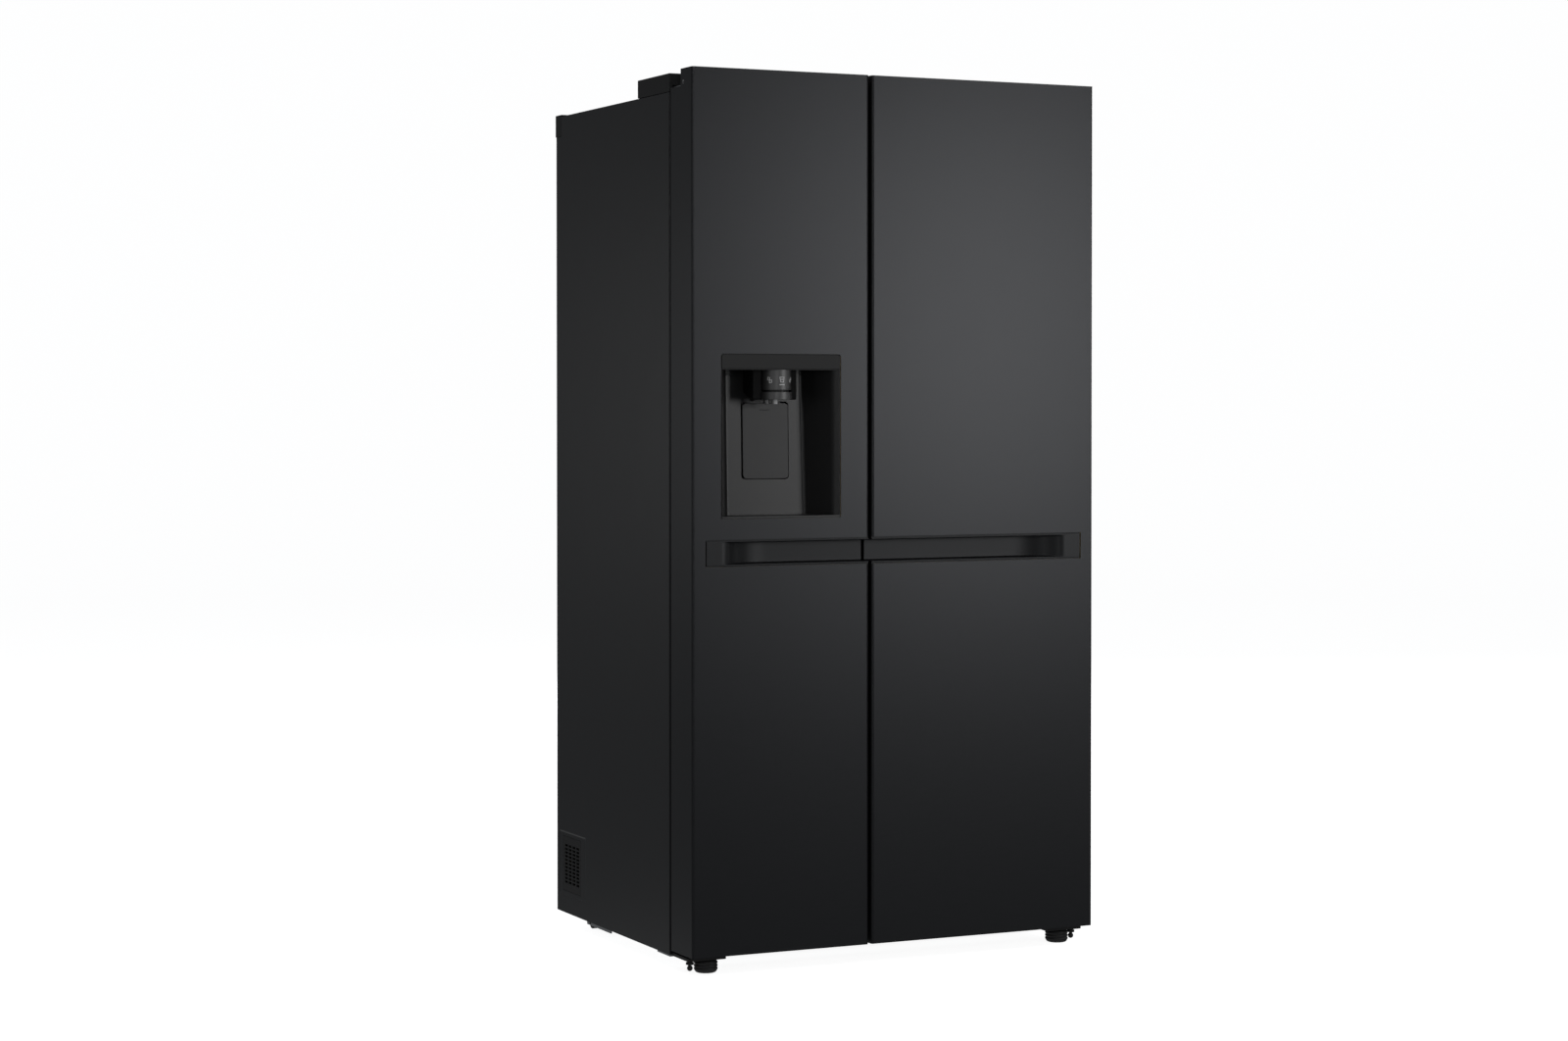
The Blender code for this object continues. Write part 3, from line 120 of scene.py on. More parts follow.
paper = bpy.data.materials.new("paper")
paper.use_nodes = True
paper_shader = paper.node_tree.nodes["Principled BSDF"]
for name, value in (("Base Color", PAPER_COLOUR), ("Roughness", 1.0),
                    ("Specular IOR Level", 0.0), ("Emission Color", (1.0, 1.0, 1.0, 1.0)),
                    ("Emission Strength", PAPER_GLOW)):
    paper_shader.inputs[name].default_value = value
room_mesh.materials.append(paper)
paper_room = bpy.data.objects.new("paper_room", room_mesh)
paper_room.visible_diffuse = False
paper_room.visible_glossy = False
paper_room.visible_shadow = False
bpy.context.scene.collection.objects.link(paper_room)


def soft_box(name, where, aim, size, power):
    lamp = bpy.data.lights.new(name, "AREA")
    lamp.shape = "RECTANGLE"
    lamp.size, lamp.size_y = size
    lamp.energy = power
    holder = bpy.data.objects.new(name, lamp)
    holder.location = where
    holder.rotation_euler = (Vector(aim) - Vector(where)).to_track_quat("-Z", "Y").to_euler()
    bpy.context.scene.collection.objects.link(holder)


soft_box("door_light", (2.55, -4.6, 1.45), (0.1, -0.37, 1.2), (0.9, 1.6), 38)
soft_box("side_light", (-3.6, 4.0, 1.15), (-0.45, 0.1, 0.9), (1.3, 1.2), 4.5)
soft_box("top_light", (-0.6, -1.6, 5.5), (0.0, 0.0, 0.8), (4.0, 4.0), 45)
soft_box("front_light", (-2.3, -5.9, 1.9), (-0.2, -0.4, 1.1), (0.9, 1.8), 24)
soft_box("corner_light", (-4.6, -2.7, 1.4), (-0.45, -0.3, 0.9), (0.5, 2.2), 9)
soft_box("edge_light", (4.2, -1.3, 1.3), (-0.2, -0.4, 1.1), (0.7, 1.6), 4)
soft_box("right_light", (5.5, 2.2, 2.0), (0.45, 0.0, 1.0), (2.0, 2.0), 60)
soft_box("rear_light", (1.2, 6.0, 2.0), (0.0, 0.36, 1.0), (2.5, 2.0), 70)
soft_box("floor_glow", (-0.6, 0.2, -1.0), (-0.3, 0.0, 0.5), (4.0, 4.0), 12)


# ------------------------ outer case
# Wrapper of pre-painted steel sheet, folded round the sides, the top and the front edge.
# The left side is pressed in a shallow panel round the air grille.

CASE_COLOUR = (0.0102, 0.0109, 0.0124)
MERGE_WITHIN = 0.00002
FLAT_WITHIN = math.radians(0.5)
NEAR = 0.0001
SPECKLE_DEPTH = 0.000012
CASE_BEND = 0.0020
SHORTEST_BEND = 0.3
LEFT_OF = -0.45
PANEL_LOW = (0.1955, 0.0670)
PANEL_HIGH = (0.3480, 0.2030)
PANEL_CORNER = 0.01
PANEL_SLOPE = 0.0018
PANEL_DEPTH = 0.0012


class Signal:
    """A shader value. Signs between signals, or a signal and a number, add Math nodes."""

    def __init__(self, finish, socket):
        self.finish = finish
        self.socket = socket

    def math(self, kind, *others):
        inputs = dict(enumerate((self, *others)))
        return self.finish.node("ShaderNodeMath", {"operation": kind}, inputs)

    def __add__(self, other):
        return self.math("ADD", other)

    def __mul__(self, other):
        return self.math("MULTIPLY", other)

    def __sub__(self, other):
        return self.math("SUBTRACT", other)

    def __rsub__(self, other):
        return self * -1.0 + other

    def __truediv__(self, other):
        return self.math("DIVIDE", other)

    def __abs__(self):
        return self.math("ABSOLUTE")

    def __lt__(self, other):
        return self.math("LESS_THAN", other)

    __radd__ = __add__
    __rmul__ = __mul__

    def step(self, low, high):
        """0 below one value, 1 above another, smooth between."""
        inputs = {"Value": self, "From Min": low, "From Max": high}
        return self.finish.node("ShaderNodeMapRange", {"interpolation_type": "SMOOTHSTEP"},
                                inputs)

    def beyond(self, low, high):
        """How far outside a span: negative within it."""
        return abs(self - (low + high) / 2) - (high - low) / 2


class Finish:
    """One node material. Numbers are set on its sockets and signals are linked to them."""

    def __init__(self, name, colour, **more):
        self.material = bpy.data.materials.new(name)
        self.material.use_nodes = True
        self.tree = self.material.node_tree
        self.shader = self.tree.nodes["Principled BSDF"]
        self.colour = colour
        self.set("Base Color", (*colour, 1.0))
        for socket, value in more.items():
            self.set(socket.replace("_", " "), value)

    def node(self, kind, settings, inputs, output=0):
        made = self.tree.nodes.new(kind)
        for name, value in settings.items():
            setattr(made, name, value)
        for socket, value in inputs.items():
            self.feed(made.inputs[socket], value)
        return Signal(self, made.outputs[output])

    def feed(self, socket, value):
        if isinstance(value, Signal):
            self.tree.links.new(value.socket, socket)
        else:
            socket.default_value = value

    def set(self, name, value):
        self.feed(self.shader.inputs[name], value)

    def place(self):
        return self.node("ShaderNodeTexCoord", {}, {}, "Object")

    def axes(self):
        where = self.place()
        return [self.node("ShaderNodeSeparateXYZ", {}, {0: where}, i) for i in range(3)]

    def grain(self, scale, stretch=(1.0, 1.0, 1.0), detail=3.0):
        spread = self.node("ShaderNodeMapping", {}, {"Vector": self.place(), "Scale": stretch})
        inputs = {"Vector": spread, "Scale": scale, "Detail": detail}
        return self.node("ShaderNodeTexNoise", {}, inputs)

    def cells(self, scale, output=0):
        inputs = {"Vector": self.place(), "Scale": scale}
        return self.node("ShaderNodeTexVoronoi", {}, inputs, output)

    def tint(self, factor, dark, light):
        """Base colour between two shares of the finish's own colour."""
        pair = [tuple(share * part for part in self.colour) + (1.0,) for share in (dark, light)]
        inputs = {0: factor, 6: pair[0], 7: pair[1]}
        self.set("Base Color", self.node("ShaderNodeMix", {"data_type": "RGBA"}, inputs, 2))

    def relief(self, height, depth):
        self.set("Normal", self.node("ShaderNodeBump", {}, {"Height": height, "Distance": depth}))

    def wear(self, scale, tints, gloss=None, depth=None, blotch=None, **grain):
        """A fine grain in gloss and relief; the tint follows it, or broader blotches."""
        fine = self.grain(scale, **grain)
        self.tint(self.grain(blotch) if blotch else fine, *tints)
        if gloss:
            self.set("Roughness", gloss[0] + gloss[1] * fine)
        if depth:
            self.relief(fine, depth)


def merged(node):
    """A CAD node's shape with its loose triangles joined and its flat faces made whole."""
    shape = bmesh.new()
    shape.from_mesh(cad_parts[node].data)
    bmesh.ops.remove_doubles(shape, verts=shape.verts, dist=MERGE_WITHIN)
    bmesh.ops.dissolve_limit(shape, angle_limit=FLAT_WITHIN, verts=shape.verts,
                             edges=shape.edges)
    return shape


def soften(shape, radius, segments=2, sharp=30.0, chosen=None):
    """Rounds the shape's sharp edges, or those of them that a test picks."""
    picked = []
    for edge in shape.edges:
        if len(edge.link_faces) == 2 and edge.calc_face_angle() > math.radians(sharp):
            if chosen is None or chosen(edge):
                picked.append(edge)
    bmesh.ops.bevel(shape, geom=picked, offset=radius, segments=segments, profile=0.5,
                    affect="EDGES", material=-1, clamp_overlap=True)


def piece(name, shape, body, slot, finish, *nodes, smooth=35.0):
    """A finished piece: it rides on a body and may stand for CAD nodes."""
    mesh = bpy.data.meshes.new(name)
    shape.to_mesh(mesh)
    shape.free()
    mesh.shade_smooth()
    mesh.set_sharp_from_angle(angle=math.radians(smooth))
    mesh.materials.append(finish.material)
    made = bpy.data.objects.new(name, mesh)
    bpy.context.scene.collection.objects.link(made)
    even = made.modifiers.new("even_shading", "WEIGHTED_NORMAL")
    even.keep_sharp = True
    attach(made, body)
    if nodes:
        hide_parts(*nodes)


def eased(name, node, body, slot, finish, radius, segments=2, smooth=35.0, **rules):
    """The piece that stands for a CAD node with the same shape and rounded edges."""
    shape = merged(node)
    if radius:
        soften(shape, radius, segments, **rules)
    piece(name, shape, body, slot, finish, node, smooth=smooth)


def coat(node, finish):
    """A CAD node that keeps its shape and takes a finish."""
    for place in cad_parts[node].material_slots:
        place.material = finish.material


def long_outer_bend(edge):
    """The case's folds: upright at the front, and along the top at both sides."""
    low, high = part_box("outer_case")
    ends = [vert.co for vert in edge.verts]
    at_side = all(abs(abs(end.x) - high[0]) < NEAR for end in ends)
    at_front = all(abs(end.y - low[1]) < NEAR for end in ends)
    at_top = all(abs(end.z - high[2]) < NEAR for end in ends)
    return sum((at_side, at_front, at_top)) > 1 and edge.calc_length() > SHORTEST_BEND


case_paint = Finish("case_paint", CASE_COLOUR)
case_x, case_y, case_z = case_paint.axes()
speckle = case_paint.grain(1400.0, detail=2.0)
case_paint.tint(case_paint.grain(3.0), 0.92, 1.08)
case_paint.set("Roughness", 0.33 + 0.05 * case_paint.grain(9.0) + 0.03 * speckle)
beside = case_y.beyond(PANEL_LOW[0], PANEL_HIGH[0])
above = case_z.beyond(PANEL_LOW[1], PANEL_HIGH[1])
pressed = beside.math("SMOOTH_MAX", above, PANEL_CORNER).step(-PANEL_SLOPE, PANEL_SLOPE)
pressed_left = pressed * (case_x < LEFT_OF)
case_paint.relief(pressed_left * PANEL_DEPTH + speckle * SPECKLE_DEPTH, 1.0)
eased("case_wrapper", "outer_case", "cabinet", "case_paint", case_paint, CASE_BEND, 3,
      chosen=long_outer_bend)


# ------------------------ side grille and rear cap
# Polypropylene mouldings: the grille snaps into the left side of the machine room, the
# cap covers the raw edges of the sheets along the top rear edge.

PLASTIC_COLOUR = (0.0080, 0.0080, 0.0085)
GRILLE_EDGE = 0.0004
CAP_EDGE = 0.0015

black_plastic = Finish("black_plastic", PLASTIC_COLOUR)
black_plastic.wear(2600.0, (0.90, 1.10), (0.50, 0.08), 0.00003, blotch=14.0, detail=2.0)
eased("side_grille", "side_vent_grille", "cabinet", "dark_plastic", black_plastic,
      GRILLE_EDGE, 1)
eased("rear_cap", "rear_top_cap", "cabinet", "dark_plastic", black_plastic, CAP_EDGE, 3)


# ------------------------ rear sheets
# Plain zinc-coated sheets close the back. The lower one is slotted for the fan's air and
# comes off for service, so both are held by rows of screws with flanged heads.

SHEET_COLOUR = (0.22, 0.225, 0.23)
RIB_PITCH = 0.165
RIB_FOOT = 0.010
RIB_TOP = 0.004
RIB_DEPTH = 0.0012
RIBS_FROM = (0.30, 0.33)
RIBS_TO = (1.60, 1.63)
SCREW_COLOUR = (0.50, 0.50, 0.51)
SCREW_RADIUS = 0.0042
SCREW_HEIGHT = 0.0016
SCREW_PROFILE = ((0.0, 0.35), (0.22, 0.35), (0.34, 1.0), (0.62, 0.92), (0.72, 0.30),
                 (1.0, 0.22), (1.0, 0.0), (0.0, 0.0))
SCREW_INSET = 0.014
SIDE_SCREWS = 6
SIDE_MARGINS = (0.05, 0.04)
COVER_SCREWS = 5

rear_sheet = Finish("rear_sheet", SHEET_COLOUR, Metallic=0.75)
rear_x, _, rear_z = rear_sheet.axes()
spangle = rear_sheet.node("ShaderNodeSeparateColor", {}, {0: rear_sheet.cells(110.0, 1)})
rear_sheet.tint(spangle, 0.86, 1.12)
rear_sheet.set("Roughness", 0.38 + 0.14 * spangle)
rib = abs(rear_x.math("PINGPONG", RIB_PITCH / 2) - RIB_PITCH / 4)
ribbed = (1.0 - rib.step(RIB_TOP, RIB_FOOT)) * rear_z.step(*RIBS_FROM)
rear_sheet.relief(ribbed * RIB_DEPTH * (1.0 - rear_z.step(*RIBS_TO)), 1.0)
coat("back_panel", rear_sheet)
eased("machine_cover", "machine_room_cover", "cabinet", "back_sheet", rear_sheet, 0.0)


def add(shape, other):
    """Moves one shape's geometry into another."""
    carrier = bpy.data.meshes.new("carrier")
    other.to_mesh(carrier)
    other.free()
    shape.from_mesh(carrier)
    bpy.data.meshes.remove(carrier)


def lathe(shape, profile, centre, axis="Z", steps=32):
    """Turns (radius, height) points, listed from one end to the other, about an axis."""
    turn = {"Z": Matrix.Identity(3), "X": Matrix(((0, 0, 1), (1, 0, 0), (0, 1, 0))),
            "Y": Matrix(((0, 1, 0), (0, 0, 1), (1, 0, 0)))}[axis]
    made = bmesh.new()
    line = [made.verts.new(turn @ Vector((max(r, 0.000001), 0.0, h))) for r, h in profile]
    sides = [made.edges.new(pair) for pair in zip(line, line[1:])]
    bmesh.ops.spin(made, geom=line + sides, cent=(0, 0, 0), axis=turn @ Vector((0, 0, 1)),
                   angle=math.tau, steps=steps, use_merge=True)
    bmesh.ops.remove_doubles(made, verts=made.verts, dist=0.000004)
    bmesh.ops.recalc_face_normals(made, faces=made.faces)
    bmesh.ops.translate(made, verts=made.verts, vec=centre)
    add(shape, made)


def screw(shape, where):
    """A flanged head with a round recess, standing out behind a rear face."""
    profile = [(SCREW_RADIUS * r, SCREW_HEIGHT * h) for r, h in SCREW_PROFILE]
    lathe(shape, profile, where, "Y", 16)


steel = Finish("bright_steel", SCREW_COLOUR, Metallic=1.0)
steel.wear(700.0, (0.85, 1.10), (0.26, 0.16), 0.00002, blotch=60.0, stretch=(0.15, 1.0, 1.0))
heads = bmesh.new()
rear_low, rear_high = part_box("back_panel")
cover_low, cover_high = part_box("machine_room_cover")
for x in (rear_low.x + SCREW_INSET, rear_high.x - SCREW_INSET):
    for step in range(SIDE_SCREWS):
        span = rear_high.z - rear_low.z - sum(SIDE_MARGINS)
        z = rear_low.z + SIDE_MARGINS[0] + step * span / (SIDE_SCREWS - 1)
        screw(heads, (x, rear_high.y, z))
for step in range(COVER_SCREWS):
    span = cover_high.x - cover_low.x - 2 * SCREW_INSET
    x = cover_low.x + SCREW_INSET + step * span / (COVER_SCREWS - 1)
    screw(heads, (x, cover_high.y, cover_high.z - SCREW_INSET))
    screw(heads, (x, cover_high.y, cover_low.z + SCREW_INSET))
piece("rear_screws", heads, "cabinet", "zinc_steel", steel)


# ------------------------ base and rollers
# Zinc-plated pressed steel floor with two long runners; nylon rollers turn in the runners
# on short pins, so that the body can be pulled out.

ZINC_COLOUR = (0.40, 0.41, 0.42)
BASE_EDGE = 0.0006
ROLLER_EDGE = 0.0005

zinc = Finish("zinc_plate", ZINC_COLOUR, Metallic=0.9)
bloom = zinc.grain(45.0, detail=5.0)
zinc.tint(bloom, 0.78, 1.12)
zinc.set("Roughness", 0.30 + 0.20 * bloom)
zinc.relief(zinc.grain(900.0), 0.00003)
eased("base_plate", "base_frame", "cabinet", "zinc_steel", zinc, BASE_EDGE)
for side in ("left", "right"):
    node = f"rear_roller_{side}"
    eased(f"roller_{side}", node, node, "dark_plastic", black_plastic, ROLLER_EDGE)


# ------------------------ machine room
# Hermetic compressor in a black-painted welded shell, a bent wire condenser and a fan in
# its shroud, all behind the slotted cover.

SHELL_COLOUR = (0.012, 0.012, 0.012)
SEAM_RADIUS = 0.0775
SEAM_ROOT = 0.0715
SEAM_PROFILE = ((SEAM_ROOT, 0.0), (SEAM_RADIUS, 0.0015), (SEAM_RADIUS, 0.0050),
                (SEAM_ROOT, 0.0065), (SEAM_ROOT, 0.0))
SEAM_HEIGHT = 0.095
BOX_SIZE = Vector((0.022, 0.060, 0.070))
BOX_REACH = 0.091
BOX_HEIGHT = 0.050
BOX_EDGE = 0.004
SHROUD_EDGE = 0.001

shell_paint = Finish("compressor_paint", SHELL_COLOUR, Coat_Weight=0.3)
shell_paint.wear(420.0, (0.8, 1.2), (0.28, 0.14), 0.00006, blotch=30.0, detail=2.0)


def slab(shape, low, high, radius=0.0, segments=2):
    """A block between two corners, its edges rounded."""
    low, high = Vector(low), Vector(high)
    where = Matrix.Translation((low + high) / 2) @ Matrix.Diagonal((*(high - low), 1.0))
    made = bmesh.new()
    bmesh.ops.create_cube(made, size=1.0, matrix=where)
    if radius:
        bmesh.ops.bevel(made, geom=made.edges[:], offset=radius, segments=segments,
                        profile=0.5, affect="EDGES", material=-1, clamp_overlap=True)
    add(shape, made)


compressor = merged("compressor")
pump_low, pump_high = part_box("compressor")
pump = (pump_low + pump_high) / 2
lathe(compressor, SEAM_PROFILE, (pump.x, pump.y, pump_low.z + SEAM_HEIGHT), "Z", 48)
box_corner = Vector((pump.x - BOX_REACH, pump.y - BOX_SIZE.y / 2, pump_low.z + BOX_HEIGHT))
slab(compressor, box_corner, box_corner + BOX_SIZE, BOX_EDGE, 3)
piece("compressor_shell", compressor, "cabinet", "black_metal", shell_paint, "compressor")
eased("condenser_tube", "condenser_coil", "cabinet", "zinc_steel", shell_paint, 0.0,
      smooth=60.0)
eased("condenser_shroud", "fan_shroud", "cabinet", "dark_plastic", black_plastic, SHROUD_EDGE)
for node in ("condenser_fan", "evaporator_fan"):
    eased(f"{node}_wheel", node, node, "dark_plastic", black_plastic, 0.0, smooth=50.0)


# ------------------------ foam
# Polyurethane foam fills the body and both doors. It is closed in on every side, and is
# poured in place, where it sticks to the sheets round it.

FOAM_COLOUR = (0.62, 0.50, 0.27)
PORE_DEPTH = 0.0004

foam = Finish("insulating_foam", FOAM_COLOUR, Roughness=0.95)
foam.tint(foam.grain(25.0), 0.85, 1.1)
foam.relief(foam.cells(420.0), PORE_DEPTH)
for node in ("cabinet_foam", "freezer_door_foam", "fridge_door_foam"):
    coat(node, foam)


# ------------------------ liners
# Vacuum-formed white polystyrene: one tub for each compartment, with ledges for the
# drawers and shelves, and a lamp lens let into the roof of each.

LINER_COLOUR = (0.74, 0.76, 0.775)
LINER_CORNER = 0.014
LINER_SHEET = 0.0025
LINER_SKIN = 0.001
SHORTEST_FOLD = 0.1
LENS_COLOUR = (0.90, 0.92, 0.95)
LAMP_WIDTH = 0.150
LAMP_LENGTH = 0.050
LAMP_DEPTH = (0.0080, 0.0018)
LAMP_SETBACK = 0.160
LAMP_EDGE = 0.0025

liner_plastic = Finish("liner_plastic", LINER_COLOUR, Coat_Weight=0.15)
liner_plastic.wear(520.0, (0.97, 1.02), (0.28, 0.10), 0.00004, blotch=4.0, detail=1.0)
lamp_lens = Finish("lamp_lens", LENS_COLOUR, Roughness=0.25, Transmission_Weight=0.3)
lamp_lens.wear(1.0, (0.92, 1.0), depth=0.0002, stretch=(900.0, 60.0, 60.0), detail=1.0)


def liner_fold(low, high):
    """A test for the tub's upright rear corners and the corners along its roof."""
    def test(edge):
        ends = [vert.co for vert in edge.verts]
        to_side = [min(end.x - low.x, high.x - end.x) for end in ends]
        to_rear = [high.y - end.y for end in ends]
        to_roof = [high.z - end.z for end in ends]
        inside = min(to_side + to_rear + to_roof) > LINER_SKIN
        near = [max(gaps) < LINER_SHEET for gaps in (to_side, to_rear, to_roof)]
        return inside and sum(near) > 1 and edge.calc_length() > SHORTEST_FOLD
    return test


for word in ("freezer", "fridge"):
    low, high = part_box(f"{word}_liner")
    eased(f"{word}_tub", f"{word}_liner", "cabinet", "liner", liner_plastic, LINER_CORNER, 4,
          chosen=liner_fold(low, high))
    lamp = bmesh.new()
    middle = (low.x + high.x) / 2
    lamp_y = low.y + LAMP_SETBACK
    slab(lamp, (middle - LAMP_WIDTH / 2, lamp_y, high.z - LAMP_DEPTH[0]),
         (middle + LAMP_WIDTH / 2, lamp_y + LAMP_LENGTH, high.z - LAMP_DEPTH[1]), LAMP_EDGE, 3)
    piece(f"{word}_lamp", lamp, "cabinet", "liner", lamp_lens)


# ------------------------ cold air parts
# Moulded cover with louvres before the freezer's evaporator, and a slotted duct up the
# back of the fridge. The evaporator is a block of thin aluminium fins on a tube, with painted
# shade between the fins.

VENT_EDGE = 0.0008
FIN_COLOUR = (0.62, 0.63, 0.64)
FIN_PITCH = 0.004
FIN_DEPTH = 0.0006

eased("freezer_air_cover", "evaporator_cover", "cabinet", "liner", liner_plastic, VENT_EDGE)
eased("fridge_air_duct", "air_duct", "cabinet", "liner", liner_plastic, VENT_EDGE)
fins = Finish("aluminium_fins", FIN_COLOUR, Roughness=0.35, Metallic=1.0)
# Painted shade: the colour darkens into the gaps between the fins and lightens on the fin edges,
# following the same wave as the relief.
fin_ridge_shade = fins.axes()[0].math("PINGPONG", FIN_PITCH / 2) / (FIN_PITCH / 2)
fins.tint(fin_ridge_shade, 0.55, 1.05)
fins.relief(fin_ridge_shade, FIN_DEPTH)
coat("evaporator", fins)


# ------------------------ shelves
# Tempered glass panes in moulded white trims: a rounded nosing in front, a low stop
# behind and a thin rail at each side.

SHELF_COUNTS = (("freezer", 2), ("fridge", 3))
GLASS_COLOUR = (0.62, 0.78, 0.74)
PANE_LOW = Vector((0.003, 0.004, -0.005))
PANE_HIGH = Vector((-0.003, -0.003, -0.001))
PANE_EDGE = 0.0008
NOSING_DEPTH = 0.016
NOSING_EDGE = 0.0025
STOP_DEPTH = 0.010
STOP_EDGE = 0.0018
RAIL_WIDTH = 0.009
RAIL_TUCK = 0.002
RAIL_SUNK = 0.0003
RAIL_EDGE = 0.0012

pane_glass = Finish("shelf_glass", GLASS_COLOUR, Transmission_Weight=0.92, IOR=1.45)
pane_glass.wear(6.0, (0.97, 1.02), (0.02, 0.03))
for word, count in SHELF_COUNTS:
    for number in range(1, count + 1):
        node = f"{word}_shelf_{number}"
        low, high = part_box(node)
        pane = bmesh.new()
        slab(pane, Vector((low.x, low.y, high.z)) + PANE_LOW, high + PANE_HIGH, PANE_EDGE, 2)
        piece(f"{node}_pane", pane, "cabinet", "shelf_glass", pane_glass, node)
        trim = bmesh.new()
        slab(trim, low, (high.x, low.y + NOSING_DEPTH, high.z), NOSING_EDGE, 4)
        slab(trim, (low.x, high.y - STOP_DEPTH, low.z), high, STOP_EDGE, 3)
        for x in (low.x, high.x - RAIL_WIDTH):
            slab(trim, (x, low.y + NOSING_DEPTH - RAIL_TUCK, low.z),
                 (x + RAIL_WIDTH, high.y - STOP_DEPTH + RAIL_TUCK, high.z - RAIL_SUNK),
                 RAIL_EDGE, 2)
        piece(f"{node}_trim", trim, "cabinet", "liner", liner_plastic)


# ------------------------ drawers
# Clear polystyrene drawers with rounded corners, a rolled rim and a thick frosted grip
# moulded along the top of the front.

CLEAR_COLOUR = (0.86, 0.91, 0.94)
FROSTED_COLOUR = (0.78, 0.83, 0.87)
TUB_BEND = 0.004
TUB_LIP = 0.0008
TUB_LEAST_CORNER = 0.002
DRAWER_CORNER = 0.012
DRAWER_WALL = 0.0025
DRAWER_DRAFT = 0.006
DRAWER_INSET = 0.007
DRAWER_LIFT = 0.001
DRAWER_RIM = (0.0035, 0.006)
RUNNER_INSETS = (0.0004, 0.0144)
RUNNER_SIZE = (0.014, 0.006)
RUNNER_SPAN = (0.105, 0.014)
RUNNER_EDGE = 0.001
GRIP_INSET = 0.016
GRIP_DEPTH = (0.0002, 0.013)
GRIP_DROP = (0.026, 0.0063)
GRIP_EDGE = 0.004
BEAD_INSET = 0.05
BEAD_DEPTH = (0.0045, 0.0065)
BEAD_HEIGHT = (0.028, 0.032)
BEAD_EDGE = 0.0008

clear_plastic = Finish("clear_plastic", CLEAR_COLOUR, Transmission_Weight=0.88, IOR=1.46)
clear_plastic.wear(14.0, (0.96, 1.02), (0.06, 0.06), 0.0003)
frosted = Finish("frosted_trim", FROSTED_COLOUR, Roughness=0.42, Transmission_Weight=0.35)
frosted.wear(1500.0, (0.94, 1.04), depth=0.00005)


def ring(low, high, radius, z, count=6):
    """Points of a rectangle with rounded corners at one height, counted anticlockwise."""
    found = []
    corners = ((high[0] - radius, high[1] - radius, 0), (low[0] + radius, high[1] - radius, 1),
               (low[0] + radius, low[1] + radius, 2), (high[0] - radius, low[1] + radius, 3))
    for x, y, quarter in corners:
        for i in range(count + 1):
            angle = math.pi / 2 * (quarter + i / count)
            found.append((x + radius * math.cos(angle), y + radius * math.sin(angle), z))
    return found


def loft(shape, rings, capped=True):
    """Skin through closed rings of points, with flat ends."""
    made = bmesh.new()
    rows = [[made.verts.new(point) for point in points] for points in rings]
    for first, second in zip(rows, rows[1:]):
        for i in range(len(first)):
            j = (i + 1) % len(first)
            made.faces.new((first[i], first[j], second[j], second[i]))
    if capped:
        made.faces.new(rows[0])
        made.faces.new(rows[-1])
    bmesh.ops.recalc_face_normals(made, faces=made.faces)
    add(shape, made)


def tub(low, high, wall, corner, draft, rim):
    """An open tub: rounded floor edge, walls that lean out, and a rolled rim."""
    third = TUB_BEND * 0.3
    proud, rim_height = rim
    lip = proud + wall
    levels = [(draft + TUB_BEND, low.z), (draft + third, low.z + third),
              (draft, low.z + TUB_BEND), (proud, high.z - rim_height),
              (0.0, high.z - rim_height), (0.0, high.z - TUB_LIP), (TUB_LIP, high.z),
              (lip - TUB_LIP, high.z), (lip, high.z - TUB_LIP),
              (draft + wall, low.z + TUB_BEND + wall),
              (draft + wall + third, low.z + wall + third),
              (draft + wall + TUB_BEND, low.z + wall)]
    shape = bmesh.new()
    loft(shape, [ring((low.x + inset, low.y + inset), (high.x - inset, high.y - inset),
                      max(corner - inset * 0.5, TUB_LEAST_CORNER), z) for inset, z in levels])
    return shape


for node in ("freezer_drawer_lower", "freezer_drawer_upper", "fridge_drawer_lower",
             "fridge_drawer_upper"):
    low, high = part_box(node)
    left, right = low.x + DRAWER_INSET, high.x - DRAWER_INSET
    drawer = tub(Vector((left, low.y, low.z + DRAWER_LIFT)), Vector((right, high.y, high.z)),
                 DRAWER_WALL, DRAWER_CORNER, DRAWER_DRAFT, DRAWER_RIM)
    for x in (low.x + RUNNER_INSETS[0], high.x - RUNNER_INSETS[1]):
        slab(drawer, (x, low.y + RUNNER_SPAN[0], low.z),
             (x + RUNNER_SIZE[0], high.y - RUNNER_SPAN[1], low.z + RUNNER_SIZE[1]),
             RUNNER_EDGE, 2)
    piece(f"{node}_tub", drawer, node, "clear_plastic", clear_plastic, node)
    grip = bmesh.new()
    slab(grip, (left + GRIP_INSET, low.y + GRIP_DEPTH[0], high.z - GRIP_DROP[0]),
         (right - GRIP_INSET, low.y + GRIP_DEPTH[1], high.z - GRIP_DROP[1]), GRIP_EDGE, 4)
    slab(grip, (left + BEAD_INSET, low.y + BEAD_DEPTH[0], low.z + BEAD_HEIGHT[0]),
         (right - BEAD_INSET, low.y + BEAD_DEPTH[1], low.z + BEAD_HEIGHT[1]), BEAD_EDGE, 2)
    piece(f"{node}_grip", grip, node, "clear_plastic", frosted)


# ------------------------ top cover and hinges
# A plastic cover runs across the top behind the doors. Under it, cranked steel plates
# hold the upper door pins; the lower pins stand on brackets with the levelling feet.

COVER_EDGE = 0.0018
PLATE_EDGE = 0.0006

eased("hinge_cover", "top_cover", "cabinet", "dark_plastic", black_plastic, COVER_EDGE, 3,
      sharp=60.0)
for side in ("left", "right"):
    for end, plating in (("top", zinc), ("bottom", black_plastic)):
        node = f"{end}_hinge_{side}"
        eased(f"{node}_plate", node, "cabinet", "zinc_steel", plating, PLATE_EDGE)


# ------------------------ levelling feet
# Ribbed black nylon discs on threaded studs. A ball-ended screw stands beside each on
# the bracket, to lift the door.

